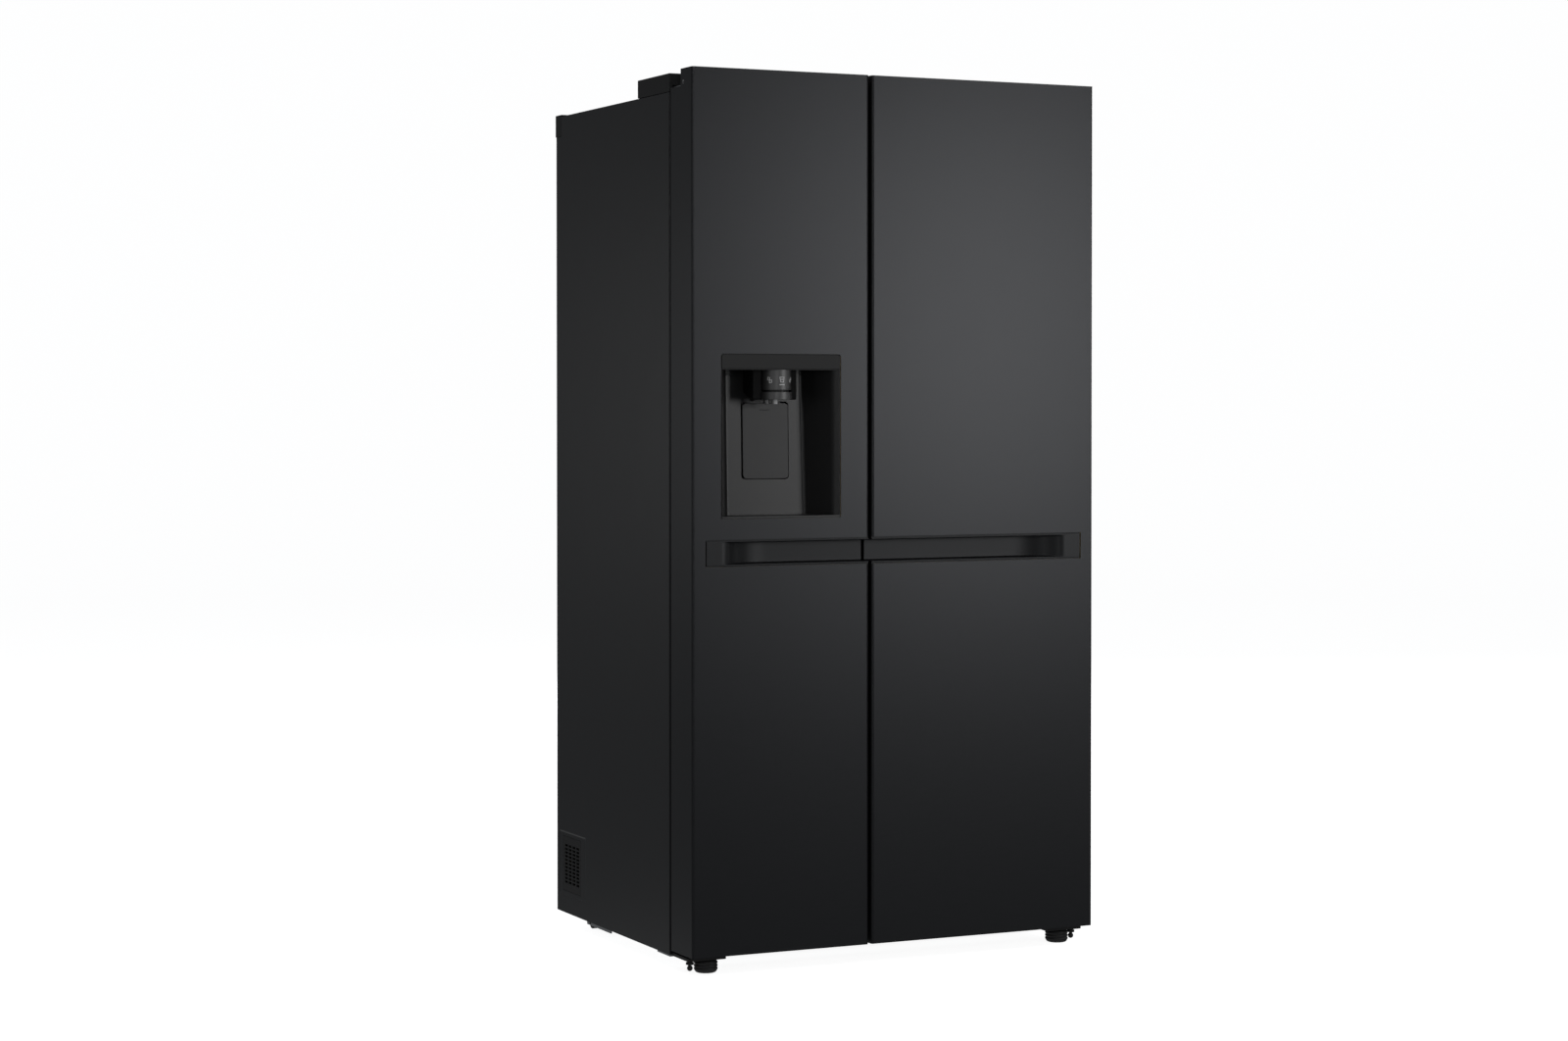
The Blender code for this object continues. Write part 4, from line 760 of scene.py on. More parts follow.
DISC_TOP = 0.0245
FOOT_PROFILE = ((-0.0062, 0.0), (-0.0040, 0.0008), (-0.0014, 0.0042))
FOOT_RIBS = 3
RIB_START = 0.005
RIB_SHAPE = (0.0002, 0.0016, 0.0012)
SHOULDER = ((-0.0024, -0.0004), (-0.004, 0.0))
STUD_BASE = 0.007
THREAD_TURNS = 5
THREAD_START = 0.0004
THREAD_PITCH = 0.0021
THREAD_RADII = (0.0044, 0.0050)
THREAD_RISE = 0.0010
STUD_END = 0.0040
STUD_GAP = 0.0002
BALL_RADIUS = 0.0058
BALL_INSET = 0.0185
BALL_LOW = 0.0042
LIFT_PROFILE = ((0.00345, 0.0165), (0.0080, 0.0172), (0.0080, 0.0215), (0.0046, 0.0222),
                (0.0046, 0.0264), (0.0, 0.0264))

rib_pitch = (DISC_TOP - 0.006) / FOOT_RIBS
rib_proud, rib_root, rib_slope = RIB_SHAPE
ball = BALL_LOW + BALL_RADIUS
stem = [(0.0, BALL_LOW)]
for i in range(1, 9):
    angle = math.pi * i / 10
    stem.append((BALL_RADIUS * math.sin(angle), ball - BALL_RADIUS * math.cos(angle)))
stem += [(LIFT_PROFILE[0][0], ball + BALL_RADIUS), *LIFT_PROFILE]
for side, lift_x in (("left", cad_low[0] + BALL_INSET), ("right", cad_high[0] - BALL_INSET)):
    node = f"front_foot_{side}"
    low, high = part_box(node)
    middle = (low + high) / 2
    radius = (high.x - low.x) / 2
    profile = [(0.0, 0.0)] + [(radius + inset, z) for inset, z in FOOT_PROFILE]
    for rib in range(FOOT_RIBS):
        foot_z = RIB_START + rib * rib_pitch
        profile += [(radius - rib_root, foot_z), (radius - rib_proud, foot_z + rib_slope),
                    (radius - rib_proud, foot_z + rib_pitch - 2 * rib_slope),
                    (radius - rib_root, foot_z + rib_pitch - rib_slope)]
    profile += [(radius + inset, DISC_TOP + drop) for inset, drop in SHOULDER]
    profile += [(STUD_BASE, DISC_TOP)]
    for turn in range(THREAD_TURNS):
        thread_z = DISC_TOP + THREAD_START + turn * THREAD_PITCH
        profile += [(THREAD_RADII[0], thread_z), (THREAD_RADII[1], thread_z + THREAD_RISE),
                    (THREAD_RADII[0], thread_z + 2 * THREAD_RISE)]
    profile += [(STUD_END, high.z - STUD_GAP), (0.0, high.z - STUD_GAP)]
    foot = bmesh.new()
    lathe(foot, profile, (middle.x, middle.y, 0.0), "Z", 48)
    piece(f"foot_{side}", foot, node, "dark_plastic", black_plastic, node, smooth=50.0)
    lift = bmesh.new()
    lathe(lift, stem, (lift_x, middle.y, 0.0), "Z", 24)
    piece(f"lift_screw_{side}", lift, "cabinet", "dark_plastic", black_plastic, smooth=50.0)


# ------------------------ door skins and caps
# Pre-coated steel folded round each door, with a fine horizontal brushed grain. Plastic
# caps close the top and the bottom, and a bush with a plug stands high in each side.

DOOR_COLOUR = (0.0243, 0.0253, 0.0278)
STREAK_DEPTH = 0.00003
SKIN_EDGE = 0.0006
TOP_CORNER = 0.0060
LOW_CORNER = 0.0035
CORNER_NEAR = 0.002
BUSH_Y = -0.3245
BUSH_Z = 1.7630
BUSH_RADIUS = 0.0045
BUSH_DEPTH = 0.0040
BUSH_PROFILE = ((0.0043, 0.0040), (0.0043, 0.0004), (0.0039, 0.0001), (0.002475, 0.0006),
                (0.002475, 0.0040), (0.0043, 0.0040))
PLUG_PROFILE = ((0.0, 0.0020), (0.002375, 0.0020), (0.002375, 0.0040), (0.0, 0.0040))
DOOR_CAP_EDGE = 0.0012

door_paint = Finish("door_coat", DOOR_COLOUR, Metallic=0.55)
streak = door_paint.grain(1.0, stretch=(16.0, 16.0, 1500.0), detail=4.0)
fleck = door_paint.grain(1.0, stretch=(90.0, 90.0, 2600.0), detail=2.0)
brushing = streak * 0.6 + fleck * 0.4
door_paint.tint(brushing, 0.86, 1.16)
door_paint.set("Roughness", 0.29 + 0.07 * streak + 0.04 * fleck)
door_paint.relief(brushing, STREAK_DEPTH)


def carve(shape, *cutters):
    """Cuts other shapes out of a shape."""
    solids = []
    for cut in (shape, *cutters):
        mesh = bpy.data.meshes.new("carving")
        cut.to_mesh(mesh)
        cut.free()
        solids.append(bpy.data.objects.new("carving", mesh))
        bpy.context.scene.collection.objects.link(solids[-1])
    whole, *tools = solids
    for tool in tools:
        cutting = whole.modifiers.new("cutting", "BOOLEAN")
        cutting.operation = "DIFFERENCE"
        cutting.object = tool
    graph = bpy.context.evaluated_depsgraph_get()
    carved = bpy.data.meshes.new_from_object(whole.evaluated_get(graph))
    made = bmesh.new()
    made.from_mesh(carved)
    bpy.data.meshes.remove(carved)
    for solid in solids:
        bpy.data.meshes.remove(solid.data)
    return made


def opening_corner(level):
    """A test for the short corner edges of the dispenser's opening at one height."""
    low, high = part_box("dispenser_housing")

    def test(edge):
        one, other = (vert.co for vert in edge.verts)
        along_depth = abs(one.x - other.x) < NEAR and abs(one.z - other.z) < NEAR
        at_side = min(abs(one.x - low.x), abs(one.x - high.x)) < CORNER_NEAR
        return along_depth and at_side and abs(one.z - level) < CORNER_NEAR
    return test


def front_rim(edge):
    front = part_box("freezer_door_panel")[0].y
    return all(abs(vert.co.y - front) < 2 * NEAR for vert in edge.verts)


for word, inward in (("freezer", 1.0), ("fridge", -1.0)):
    door, panel = f"{word}_door", f"{word}_door_panel"
    low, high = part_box(panel)
    where = (low.x if inward > 0 else high.x, BUSH_Y, BUSH_Z)
    hole = bmesh.new()
    lathe(hole, [(0.0, -BUSH_DEPTH), (BUSH_RADIUS, -BUSH_DEPTH), (BUSH_RADIUS, BUSH_DEPTH),
                 (0.0, BUSH_DEPTH)], where, "X", 24)
    skin = carve(merged(panel), hole)
    bush = bmesh.new()
    lathe(bush, [(radius, inward * deep) for radius, deep in BUSH_PROFILE], where, "X", 32)
    piece(f"{door}_bush", bush, door, "zinc_steel", steel)
    plug = bmesh.new()
    lathe(plug, [(radius, inward * deep) for radius, deep in PLUG_PROFILE], where, "X", 24)
    piece(f"{door}_bush_plug", plug, door, "dark_plastic", black_plastic)
    if word == "freezer":
        opening_low, opening_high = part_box("dispenser_housing")
        soften(skin, TOP_CORNER, 5, chosen=opening_corner(opening_high.z))
        soften(skin, LOW_CORNER, 4, chosen=opening_corner(opening_low.z))
    soften(skin, SKIN_EDGE, 2, sharp=60.0, chosen=front_rim)
    piece(f"{door}_skin", skin, door, "door_steel", door_paint, panel, smooth=40.0)
    for end in ("top", "bottom"):
        node = f"{door}_{end}_cap"
        eased(f"{node}_moulding", node, door, "dark_plastic", black_plastic, DOOR_CAP_EDGE)


# ------------------------ door liners and gaskets
# The doors' inner faces are formed white sheet with a raised rim. A soft magnetic gasket
# with bellows folds runs round the rim and closes on the case's front frame.

RIM_EDGE = 0.005
GASKET_COLOUR = (0.085, 0.086, 0.090)
GASKET_WIDTH = 0.0155
GASKET_CORNER = 0.012
GASKET_LEAST_CORNER = 0.004
GASKET_SECTION = ((0.0, 0.0), (0.0, 0.16), (0.10, 0.30), (0.0, 0.44), (0.0, 0.86),
                  (0.05, 1.0), (0.95, 1.0), (1.0, 0.86), (1.0, 0.44), (0.90, 0.30),
                  (1.0, 0.16), (1.0, 0.0))

rubber = Finish("gasket_rubber", GASKET_COLOUR)
rubber.wear(1100.0, (0.85, 1.15), (0.56, 0.12), 0.00005, blotch=20.0)


def at_rim(level):
    """A test for the edges of a door liner's raised rim."""
    return lambda edge: all(vert.co.y > level - 0.0005 for vert in edge.verts)


for word in ("freezer", "fridge"):
    door = f"{word}_door"
    eased(f"{door}_inner", f"{door}_liner", door, "liner", liner_plastic, RIM_EDGE, 4,
          chosen=at_rim(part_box(f"{door}_liner")[1].y))
    low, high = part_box(f"{word}_gasket")
    rings = []
    for share, rise in GASKET_SECTION:
        inset = share * GASKET_WIDTH
        points = ring((low.x + inset, low.z + inset), (high.x - inset, high.z - inset),
                      max(GASKET_LEAST_CORNER, GASKET_CORNER - inset * 0.5), 0.0, 4)
        rings.append([(x, low.y + rise * (high.y - low.y), z) for x, z, _ in points])
    gasket = bmesh.new()
    loft(gasket, rings + [rings[0]], capped=False)
    bmesh.ops.remove_doubles(gasket, verts=gasket.verts, dist=0.000005)
    bmesh.ops.recalc_face_normals(gasket, faces=gasket.faces)
    piece(f"{word}_seal", gasket, door, "gasket", rubber, f"{word}_gasket", smooth=28.0)


# ------------------------ door bins and ice bin
# Clear moulded bins hang inside the rim, each with a frosted bar along its front. The ice
# bin above the dispenser is smoke grey and taller.

DOOR_BINS = (("freezer", 2), ("fridge", 3))
BIN_CORNER = 0.014
BIN_WALL = 0.0022
BIN_DRAFT = 0.004
BIN_RIM = (0.0022, 0.005)
BAR_INSET = 0.018
BAR_DEPTH = (-0.0016, 0.0006)
BAR_DROP = (0.028, 0.012)
BAR_EDGE = 0.001
SMOKE_COLOUR = (0.30, 0.32, 0.35)

smoke_plastic = Finish("smoke_plastic", SMOKE_COLOUR, Transmission_Weight=0.70)
smoke_plastic.wear(18.0, (0.9, 1.05), (0.12, 0.06), 0.0002)
bins = [(f"{word}_door_bin_{number}", f"{word}_door", "clear_plastic", clear_plastic)
        for word, count in DOOR_BINS for number in range(1, count + 1)]
bins.append(("ice_bin", "freezer_door", "smoke_plastic", smoke_plastic))
for node, door, slot, finish in bins:
    low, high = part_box(node)
    piece(f"{node}_tub", tub(low, high, BIN_WALL, BIN_CORNER, BIN_DRAFT, BIN_RIM), door, slot,
          finish, node)
    bar = bmesh.new()
    slab(bar, (low.x + BAR_INSET, high.y + BAR_DEPTH[0], high.z - BAR_DROP[0]),
         (high.x - BAR_INSET, high.y + BAR_DEPTH[1], high.z - BAR_DROP[1]), BAR_EDGE, 3)
    piece(f"{node}_bar", bar, door, slot, frosted)


# ------------------------ handles
# A moulded trough let into each door front, open towards the gap between the doors. It is
# flat at its outer end, turns in over a soft edge and eases out to its full depth.

HANDLE_COLOUR = (0.0150, 0.0158, 0.0174)
HANDLE_FLAT = 0.049
HANDLE_RAMP = 0.097
HANDLE_LEAD = 0.45
HANDLE_BLEND = 0.018
BLEND_STEPS = 15
RAMP_STEPS = 72
HANDLE_DEPTH = 0.035
LEAST_DEPTH = 0.00002
HANDLE_WALL = 0.0030
HANDLE_UNDER = 0.0012
GROOVE = 0.0016
GROOVE_DEPTH = 0.0030
FACE_RADIUS = 0.0006
LIP_RADIUS = 0.0011
TROUGH_RADIUS = 0.0030
HANDLE_STARTS = (-HANDLE_UNDER, GROOVE - 0.0002, GROOVE + 0.0004, 0.010, 0.020)
HANDLE_GAP = 0.0002

handle_plastic = Finish("handle_plastic", HANDLE_COLOUR, Metallic=0.45)
handle_plastic.wear(1800.0, (0.94, 1.06), (0.37, 0.07), 0.00002, blotch=10.0, detail=2.0)


def arc(centre, radius, start, end, count=4):
    """Points on a circle between two angles in degrees."""
    found = []
    for i in range(count + 1):
        angle = math.radians(start + (end - start) * i / count)
        found.append((centre[0] + radius * math.cos(angle), centre[1] + radius * math.sin(angle)))
    return found


def handle_section(depth, low_z, high_z, rear):
    """Side view (depth from the front, height) of the insert where its trough is so deep."""
    lip = min(LIP_RADIUS, depth * 0.5)
    root = min(TROUGH_RADIUS, max(depth - lip, LEAST_DEPTH) * 0.9)
    bottom, top = low_z + HANDLE_WALL, high_z - HANDLE_WALL
    foot, head = low_z - GROOVE - HANDLE_UNDER, high_z + GROOVE + HANDLE_UNDER
    return ([(rear, foot), (GROOVE_DEPTH, foot), (GROOVE_DEPTH, low_z)]
            + arc((FACE_RADIUS, low_z + FACE_RADIUS), FACE_RADIUS, 270, 180, 3)
            + arc((lip, bottom - lip), lip, 180, 90)
            + arc((depth - root, bottom + root), root, 270, 360)
            + arc((depth - root, top - root), root, 0, 90)
            + arc((lip, top + lip), lip, 270, 180)
            + arc((FACE_RADIUS, high_z - FACE_RADIUS), FACE_RADIUS, 180, 90, 3)
            + [(GROOVE_DEPTH, high_z), (GROOVE_DEPTH, head), (rear, head)])


def trough_depth(step):
    """Depth at a distance from the outer end, eased over the turn of the edge."""
    total = weights = 0.0
    for i in range(1 - BLEND_STEPS, BLEND_STEPS):
        weight = 1 - abs(i) / BLEND_STEPS
        share = (step + HANDLE_BLEND * i / BLEND_STEPS - HANDLE_FLAT) / HANDLE_RAMP
        share = min(max(share, 0.0), 1.0) ** HANDLE_LEAD
        total += weight * HANDLE_DEPTH * (1 - math.cos(math.pi * share)) / 2
        weights += weight
    return max(total / weights, LEAST_DEPTH)


for word, inward in (("freezer", 1.0), ("fridge", -1.0)):
    node = f"{word}_handle"
    low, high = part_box(node)
    near = low.x if inward > 0 else high.x
    turn = [HANDLE_FLAT - HANDLE_BLEND + (HANDLE_RAMP + 2 * HANDLE_BLEND) * i / RAMP_STEPS
            for i in range(RAMP_STEPS + 1)]
    rings = []
    for step in (*HANDLE_STARTS, *turn, high.x - low.x - HANDLE_GAP):
        flat = handle_section(trough_depth(step), low.z + GROOVE, high.z - GROOVE,
                              high.y - low.y)
        if step < GROOVE:
            flat = [(max(y, GROOVE_DEPTH), z) for y, z in flat]
        rings.append([(near + inward * step, low.y + y, z) for y, z in flat])
    insert = bmesh.new()
    loft(insert, rings)
    piece(f"{node}_insert", insert, f"{word}_door", "dark_plastic", handle_plastic, node,
          smooth=40.0)


# ------------------------ dispenser recess
# One dark satin moulding lines the recess: leaning rear wall, side walls that swell into
# rounded lips and a well behind the pad. The chute block that carries the drum is matte black.

DISPENSER_COLOUR = (0.0235, 0.0235, 0.0240)
UNIT_GROOVE = 0.0012
UNIT_EASE = 0.0004
UNIT_FLANGE = 0.0030
FLANGE_UNDER = 0.0012
RECESS_DEPTH = (0.0735, 0.0800)
LEFT_JOIN = (-0.3505, -0.3515)
RIGHT_JOIN = (-0.1763, -0.1820)
LEFT_LIP = -0.3917
RIGHT_LIP = -0.1337
RIGHT_BAND = (-0.1440, 0.0115)
BAND_BEND = 0.0060
LIP_BEND = 0.0010
LEAST_BEND = 0.0003
WALL_FILLET = 0.0055
FRAME_WIDTH = 0.0045
BEYOND = 0.01
STRIP_CLEAR = 0.0003
PAD_CLEAR = (0.0030, 0.0016)
PAD_CORNER = 0.0080
WELL_FRONT = 0.060
WELL_FLOOR = 0.004
CHUTE_COLOUR = (0.0060, 0.0060, 0.0062)
CHUTE_X = (-0.3110, -0.2150)
CHUTE_DEPTH = (0.0300, 0.0790)
CHUTE_Z = (1.1370, 1.1525)
CHUTE_TUCK = 0.001
CHUTE_NOSE = 0.003
CHUTE_EDGE = 0.0015
BAY_RADIUS = 0.0326
BAY_Z = (1.12, 1.21)
RIB_Z = (1.1870, 1.1902)
RIB_DEPTHS = (0.0775, 0.0820)
RIB_WRAP = ((0.0055, 0.0665), (0.0085, 0.0680))
RIB_EDGE = 0.0008
RIB_GAPS = (0.004, 0.005)

unit_plastic = Finish("dispenser_plastic", DISPENSER_COLOUR, Metallic=0.35)
unit_plastic.wear(2200.0, (0.94, 1.06), (0.30, 0.07), 0.00002, blotch=12.0, detail=2.0)
matte_black = Finish("chute_black", CHUTE_COLOUR, Roughness=0.75, Specular_IOR_Level=0.2)
matte_black.wear(900.0, (0.85, 1.15), depth=0.00005)
unit_low, unit_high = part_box("dispenser_housing")
unit_front = unit_low.y
strip_low, strip_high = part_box("dispenser_display")
pad_low, pad_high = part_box("dispenser_pad")
drum_low, drum_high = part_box("dispenser_selector")
drum = (drum_low + drum_high) / 2
on_drum = (drum.x, drum.y, 0.0)
floor_z = unit_low.z + FRAME_WIDTH


def between(pair, share):
    return pair[0] + (pair[1] - pair[0]) * share


def plate(low, high, top_radius, low_radius, inset=0.0):
    """Front view (x, z) of a plate whose upper and lower corners have their own radii."""
    x0, x1, z0, z1 = low[0] + inset, high[0] - inset, low[1] + inset, high[1] - inset
    top, foot = max(top_radius - inset, LEAST_BEND), max(low_radius - inset, LEAST_BEND)
    return (arc((x1 - top, z1 - top), top, 0, 90, 6) + arc((x0 + top, z1 - top), top, 90, 180, 6)
            + arc((x0 + foot, z0 + foot), foot, 180, 270, 6)
            + arc((x1 - foot, z0 + foot), foot, 270, 360, 6))


def fronted(low, high, top_radius, low_radius):
    """A plate stepped in along its front edge, so that a dark groove runs round it."""
    steps = ((UNIT_GROOVE + UNIT_EASE, 0.0), (UNIT_GROOVE, UNIT_EASE),
             (UNIT_GROOVE, UNIT_FLANGE), (-FLANGE_UNDER, UNIT_FLANGE),
             (-FLANGE_UNDER, high.y - unit_front))
    made = bmesh.new()
    loft(made, [[(x, unit_front + depth, z) for x, z in
                 plate(low.xz, high.xz, top_radius, low_radius, inset)]
                for inset, depth in steps])
    return made


def recess_section(share, z):
    """Plan of the recess at one height, from beyond the front round the rear wall."""
    rear = between(RECESS_DEPTH, share)
    left, right = between(LEFT_JOIN, share), between(RIGHT_JOIN, share)
    turns = [((RIGHT_LIP, 0.0), LIP_BEND), (RIGHT_BAND, BAND_BEND), ((right, rear), WALL_FILLET),
             ((left, rear), WALL_FILLET), ((LEFT_LIP, 0.0), LIP_BEND)]
    corners = [Vector(place) for place, _ in turns]
    route = [Vector((RIGHT_LIP + BEYOND, 0.0)), *corners, Vector((LEFT_LIP - BEYOND, 0.0))]
    points = [(RIGHT_LIP + LIP_BEND, -BEYOND)]
    for corner, before, after, (_, bend) in zip(corners, route, route[2:], turns):
        first = (before - corner).normalized()
        second = (after - corner).normalized()
        for i in range(7):
            pull = i / 6
            points.append(tuple(corner + bend * ((1 - pull) ** 2 * first + pull ** 2 * second)))
    points.append((LEFT_LIP - LIP_BEND, -BEYOND))
    return [(x, unit_front + depth, z) for x, depth in points]


housing = fronted(unit_low, unit_high, TOP_CORNER, LOW_CORNER)
recess = bmesh.new()
loft(recess, [recess_section(0.0, floor_z), recess_section(1.0, strip_low.z)])
strip_space = bmesh.new()
slab(strip_space, (unit_low.x - BEYOND, unit_front - BEYOND, strip_low.z - STRIP_CLEAR),
     (unit_high.x + BEYOND, strip_high.y + STRIP_CLEAR, strip_high.z + BEYOND))
well = bmesh.new()
well_outline = plate((pad_low.x - PAD_CLEAR[0], pad_low.z - PAD_CLEAR[1]),
                     (pad_high.x + PAD_CLEAR[1], pad_high.z + PAD_CLEAR[0]),
                     PAD_CORNER, PAD_CORNER)
loft(well, [[(x, y, z) for x, z in well_outline]
            for y in (unit_front + WELL_FRONT, unit_high.y - WELL_FLOOR)])
housing = carve(housing, recess, strip_space, well)
rib_front, rib_rear = RIB_DEPTHS
slab(housing, (LEFT_JOIN[1] + RIB_GAPS[0], unit_front + rib_front, RIB_Z[0]),
     (CHUTE_X[0] + CHUTE_TUCK, unit_front + rib_rear, RIB_Z[1]), RIB_EDGE, 2)
rib_start, rib_join = CHUTE_X[1] - CHUTE_TUCK, RIGHT_JOIN[1]
rib_line = [(rib_start, rib_rear), (rib_start, rib_front), (rib_join - RIB_GAPS[1], rib_front),
            *((rib_join + x, y) for x, y in RIB_WRAP), (rib_join, rib_rear)]
loft(housing, [[(x, unit_front + y, z) for x, y in rib_line] for z in RIB_Z])
piece("dispenser_recess", housing, "freezer_door", "dispenser_plastic", unit_plastic,
      "dispenser_housing", smooth=32.0)
chute = bmesh.new()
chute_top = strip_low.z + CHUTE_TUCK
lean = [(CHUTE_DEPTH[0], chute_top), (CHUTE_DEPTH[0], CHUTE_Z[0] + CHUTE_NOSE),
        (CHUTE_DEPTH[0] + CHUTE_NOSE, CHUTE_Z[0]), (CHUTE_DEPTH[1], CHUTE_Z[1]),
        (CHUTE_DEPTH[1], chute_top)]
loft(chute, [[(x, unit_front + y, z) for y, z in lean] for x in CHUTE_X])
soften(chute, CHUTE_EDGE, 3)
bay = bmesh.new()
lathe(bay, [(0.0, BAY_Z[0]), (BAY_RADIUS, BAY_Z[0]), (BAY_RADIUS, BAY_Z[1]), (0.0, BAY_Z[1])],
      on_drum, "Z", 64)
piece("ice_chute", carve(chute, bay), "freezer_door", "dispenser_plastic", matte_black)


# ------------------------ display strip
# A plain dark panel closes the top of the recess, flush with the door, with the signs
# hidden while it is off. It snaps into the moulding from the front.

DISPLAY_COLOUR = (0.0230, 0.0230, 0.0235)
DISPLAY_LOW_CORNER = 0.0004

display_plastic = Finish("display_plastic", DISPLAY_COLOUR, Specular_IOR_Level=0.3)
display_plastic.wear(1500.0, (0.95, 1.05), (0.48, 0.06), 0.000015, blotch=8.0, detail=2.0)
piece("display_strip", fronted(strip_low, strip_high, TOP_CORNER, DISPLAY_LOW_CORNER),
      "freezer_door", "dispenser_plastic", display_plastic, "dispenser_display")


# ------------------------ selector drum
# Turned satin metal sleeve that picks water, cubes or crushed ice, with a raised sign for
# each on its skin.

SATIN_COLOUR = (0.140, 0.140, 0.140)
DRUM_BORE = 0.0135
DRUM_EDGE = 0.0007
SIGN_COLOUR = (0.72, 0.72, 0.72)
SIGN_RISE = 0.0004
SIGN_STROKE = 0.0013
SIGN_HEIGHT = 1.1770
SIGN_TURNS = (-50.0, -2.0, 45.0)
CUBES = (((-0.0048, 0.0000), (-0.0004, -0.0008), (0.0002, 0.0044), (-0.0042, 0.0050)),
         ((-0.0006, -0.0056), (0.0044, -0.0050), (0.0040, 0.0000), (-0.0008, -0.0008)))
TUMBLER = (((-0.0030, -0.0044), (0.0030, -0.0044), (0.0044, 0.0052), (-0.0044, 0.0052)),)
SHARDS = (((-0.0044, -0.0030), (-0.0010, -0.0048), (0.0000, -0.0010), (-0.0030, 0.0006)),
          ((0.0002, 0.0006), (0.0034, -0.0006), (0.0040, 0.0030), (0.0008, 0.0046)))
WATER_LEVEL = ((-0.0032, 0.0008), (0.0032, 0.0008))
UNDERLINE = ((-0.0044, -0.0096), (0.0044, -0.0096))

satin_metal = Finish("satin_metal", SATIN_COLOUR, Metallic=0.85)
satin_metal.wear(1.0, (0.86, 1.12), (0.42, 0.10), 0.00002, stretch=(50.0, 50.0, 2400.0))
sign_paint = Finish("sign_white", SIGN_COLOUR)
sign_paint.wear(900.0, (0.92, 1.04), (0.42, 0.08))
drum_radius = (drum_high.x - drum_low.x) / 2


def sleeve_profile(inner, radius, foot, top):
    """Half section of a turned sleeve whose outer edges are eased."""
    ease = DRUM_EDGE * 0.3
    return [(inner, foot), (radius - DRUM_EDGE, foot), (radius - ease, foot + ease),
            (radius, foot + DRUM_EDGE), (radius, top - DRUM_EDGE), (radius - ease, top - ease),
            (radius - DRUM_EDGE, top), (inner, top)]


def stroke(shape, turn, start, end, width=SIGN_STROKE):
    """One raised stroke between two points (along the skin, up) of a sign."""
    start, end = Vector(start), Vector(end)
    along = (end - start).normalized() * width / 2
    side = Vector((-along.y, along.x))
    corners = [start - along - side, end + along - side, end + along + side,
               start - along + side]
    rings = []
    for reach in (drum_radius - SIGN_RISE, drum_radius + SIGN_RISE):
        row = []
        for first, second in zip(corners, corners[1:] + corners[:1]):
            for i in range(4):
                flat = first.lerp(second, i / 4)
                angle = math.radians(turn) + flat.x / drum_radius
                row.append((drum.x + reach * math.sin(angle), drum.y - reach * math.cos(angle),
                            SIGN_HEIGHT + flat.y))
        rings.append(row)
    loft(shape, rings)


sleeve = bmesh.new()
lathe(sleeve, sleeve_profile(DRUM_BORE, drum_radius, drum_low.z, drum_high.z)
      + [(DRUM_BORE, drum_low.z)], on_drum, "Z", 96)
piece("selector_sleeve", sleeve, "dispenser_selector", "satin_grey", satin_metal,
      "dispenser_selector", smooth=30.0)
signs = bmesh.new()
for turn, outlines in zip(SIGN_TURNS, (CUBES, TUMBLER, SHARDS)):
    for points in outlines:
        for start, end in zip(points, points[1:] + points[:1]):
            stroke(signs, turn, start, end)
stroke(signs, SIGN_TURNS[1], *WATER_LEVEL)
stroke(signs, SIGN_TURNS[1], *UNDERLINE, SIGN_STROKE * 1.5)
piece("selector_signs", signs, "dispenser_selector", "satin_grey", sign_paint)


# ------------------------ spout
# A fixed collar of the same metal under the drum, on a dark neck, with the water and ice
# nozzles pressed into its underside.

COLLAR_GAP = 0.004
COLLAR_HEIGHT = 0.015
NECK_SHARE = 0.86
NECK_GAP = 0.0003
TUCK = 0.001
STEM_RADIUS = 0.0118
NOZZLE_RIM = 0.0008
NOZZLE_WALL = 0.0022
NOZZLE_BORE = 0.003
BRIGHT_COLOUR = (0.62, 0.62, 0.62)

bright_plastic = Finish("nozzle_plastic", BRIGHT_COLOUR)
bright_plastic.wear(300.0, (0.92, 1.05), (0.20, 0.08))
collar_low, collar_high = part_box("dispenser_spout")
collar_top = drum_low.z - COLLAR_GAP
collar_foot = collar_top - COLLAR_HEIGHT
neck_radius, neck_top = drum_radius * NECK_SHARE, drum_low.z - NECK_GAP
collar = bmesh.new()
lathe(collar, sleeve_profile(0.0, (collar_high.x - collar_low.x) / 2, collar_foot, collar_top),
      on_drum, "Z", 96)
piece("spout_collar", collar, "freezer_door", "satin_grey", satin_metal, "dispenser_spout",
      smooth=30.0)
neck = bmesh.new()
lathe(neck, [(0.0, collar_top - TUCK), (neck_radius, collar_top - TUCK),
             (neck_radius, neck_top), (STEM_RADIUS, neck_top), (STEM_RADIUS, collar_high.z),
             (0.0, collar_high.z)], on_drum, "Z", 48)
piece("spout_neck", neck, "freezer_door", "satin_grey", black_plastic)
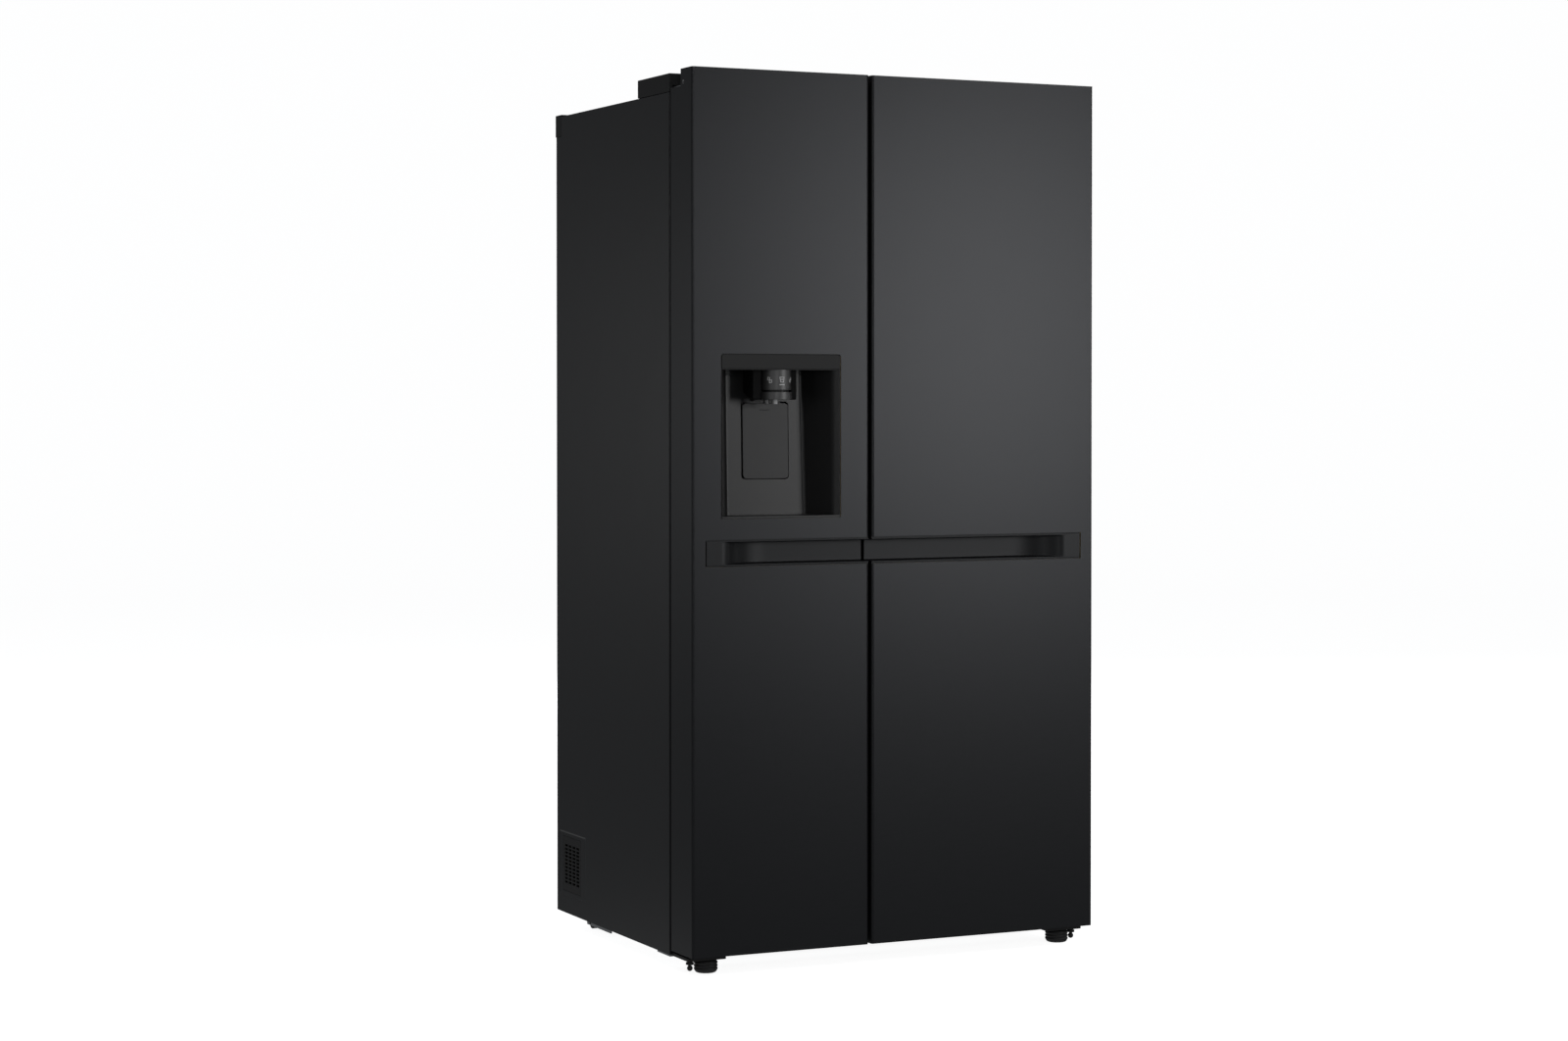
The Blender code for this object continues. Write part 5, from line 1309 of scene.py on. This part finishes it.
for name, shift, radius, finish in (("water_nozzle", -0.0215, 0.0058, satin_metal),
                                    ("ice_nozzle", -0.0020, 0.0050, bright_plastic)):
    foot, inside = collar_low.z, radius - NOZZLE_WALL
    nozzle = bmesh.new()
    lathe(nozzle, [(inside, foot + NOZZLE_BORE), (inside, foot), (radius - NOZZLE_RIM, foot),
                   (radius, foot + NOZZLE_RIM), (radius, collar_foot + TUCK),
                   (0.0, collar_foot + TUCK), (0.0, foot + NOZZLE_BORE)],
          (drum.x + shift, drum.y, 0.0), "Z", 32)
    piece(name, nozzle, "freezer_door", "satin_grey", finish)


# ------------------------ lever pad
# Satin moulded lever hung on a pin near its top; a glass pressed on it opens the valve. A
# short dark slot marks where to press.

PAD_PROUD = 0.0016
PAD_STEPS = ((0.0009, 0.0), (0.00027, 0.00027), (0.0, 0.0009), (0.0, 0.0045))
PIN_RADIUS = 0.0019
PIN_OVER = 0.001
PIN_DEPTH = 0.0800
PIN_DROP = 0.004
SLOT_X = (-0.2754, -0.2540)
SLOT_Z = (1.1163, 1.1177)
SLOT_SINK = (-0.0002, 0.001)
SLOT_EDGE = 0.0002

pad_plastic = Finish("pad_plastic", DISPENSER_COLOUR, Metallic=0.40)
pad_plastic.wear(2000.0, (0.98, 1.10), (0.34, 0.08), 0.00002, blotch=10.0, detail=2.0)


def pad_face(z):
    """Where the pad's face lies at one height: just proud of the leaning rear wall."""
    share = (z - floor_z) / (strip_low.z - floor_z)
    return unit_front + between(RECESS_DEPTH, share) - PAD_PROUD


pad = bmesh.new()
loft(pad, [[(x, pad_face(z) + depth, z) for x, z in
            plate(pad_low.xz, pad_high.xz, PAD_CORNER, PAD_CORNER, inset)]
           for inset, depth in PAD_STEPS])
lathe(pad, [(0.0, pad_low.x - PIN_OVER), (PIN_RADIUS, pad_low.x - PIN_OVER),
            (PIN_RADIUS, pad_high.x + PIN_OVER), (0.0, pad_high.x + PIN_OVER)],
      (0.0, unit_front + PIN_DEPTH, pad_high.z - PIN_DROP), "X", 16)
piece("lever_pad", pad, "dispenser_pad", "satin_grey", pad_plastic, "dispenser_pad")
slot_face = pad_face(sum(SLOT_Z) / 2)
mark = bmesh.new()
slab(mark, (SLOT_X[0], slot_face + SLOT_SINK[0], SLOT_Z[0]),
     (SLOT_X[1], slot_face + SLOT_SINK[1], SLOT_Z[1]), SLOT_EDGE, 1)
piece("pad_slot", mark, "dispenser_pad", "satin_grey", black_plastic)
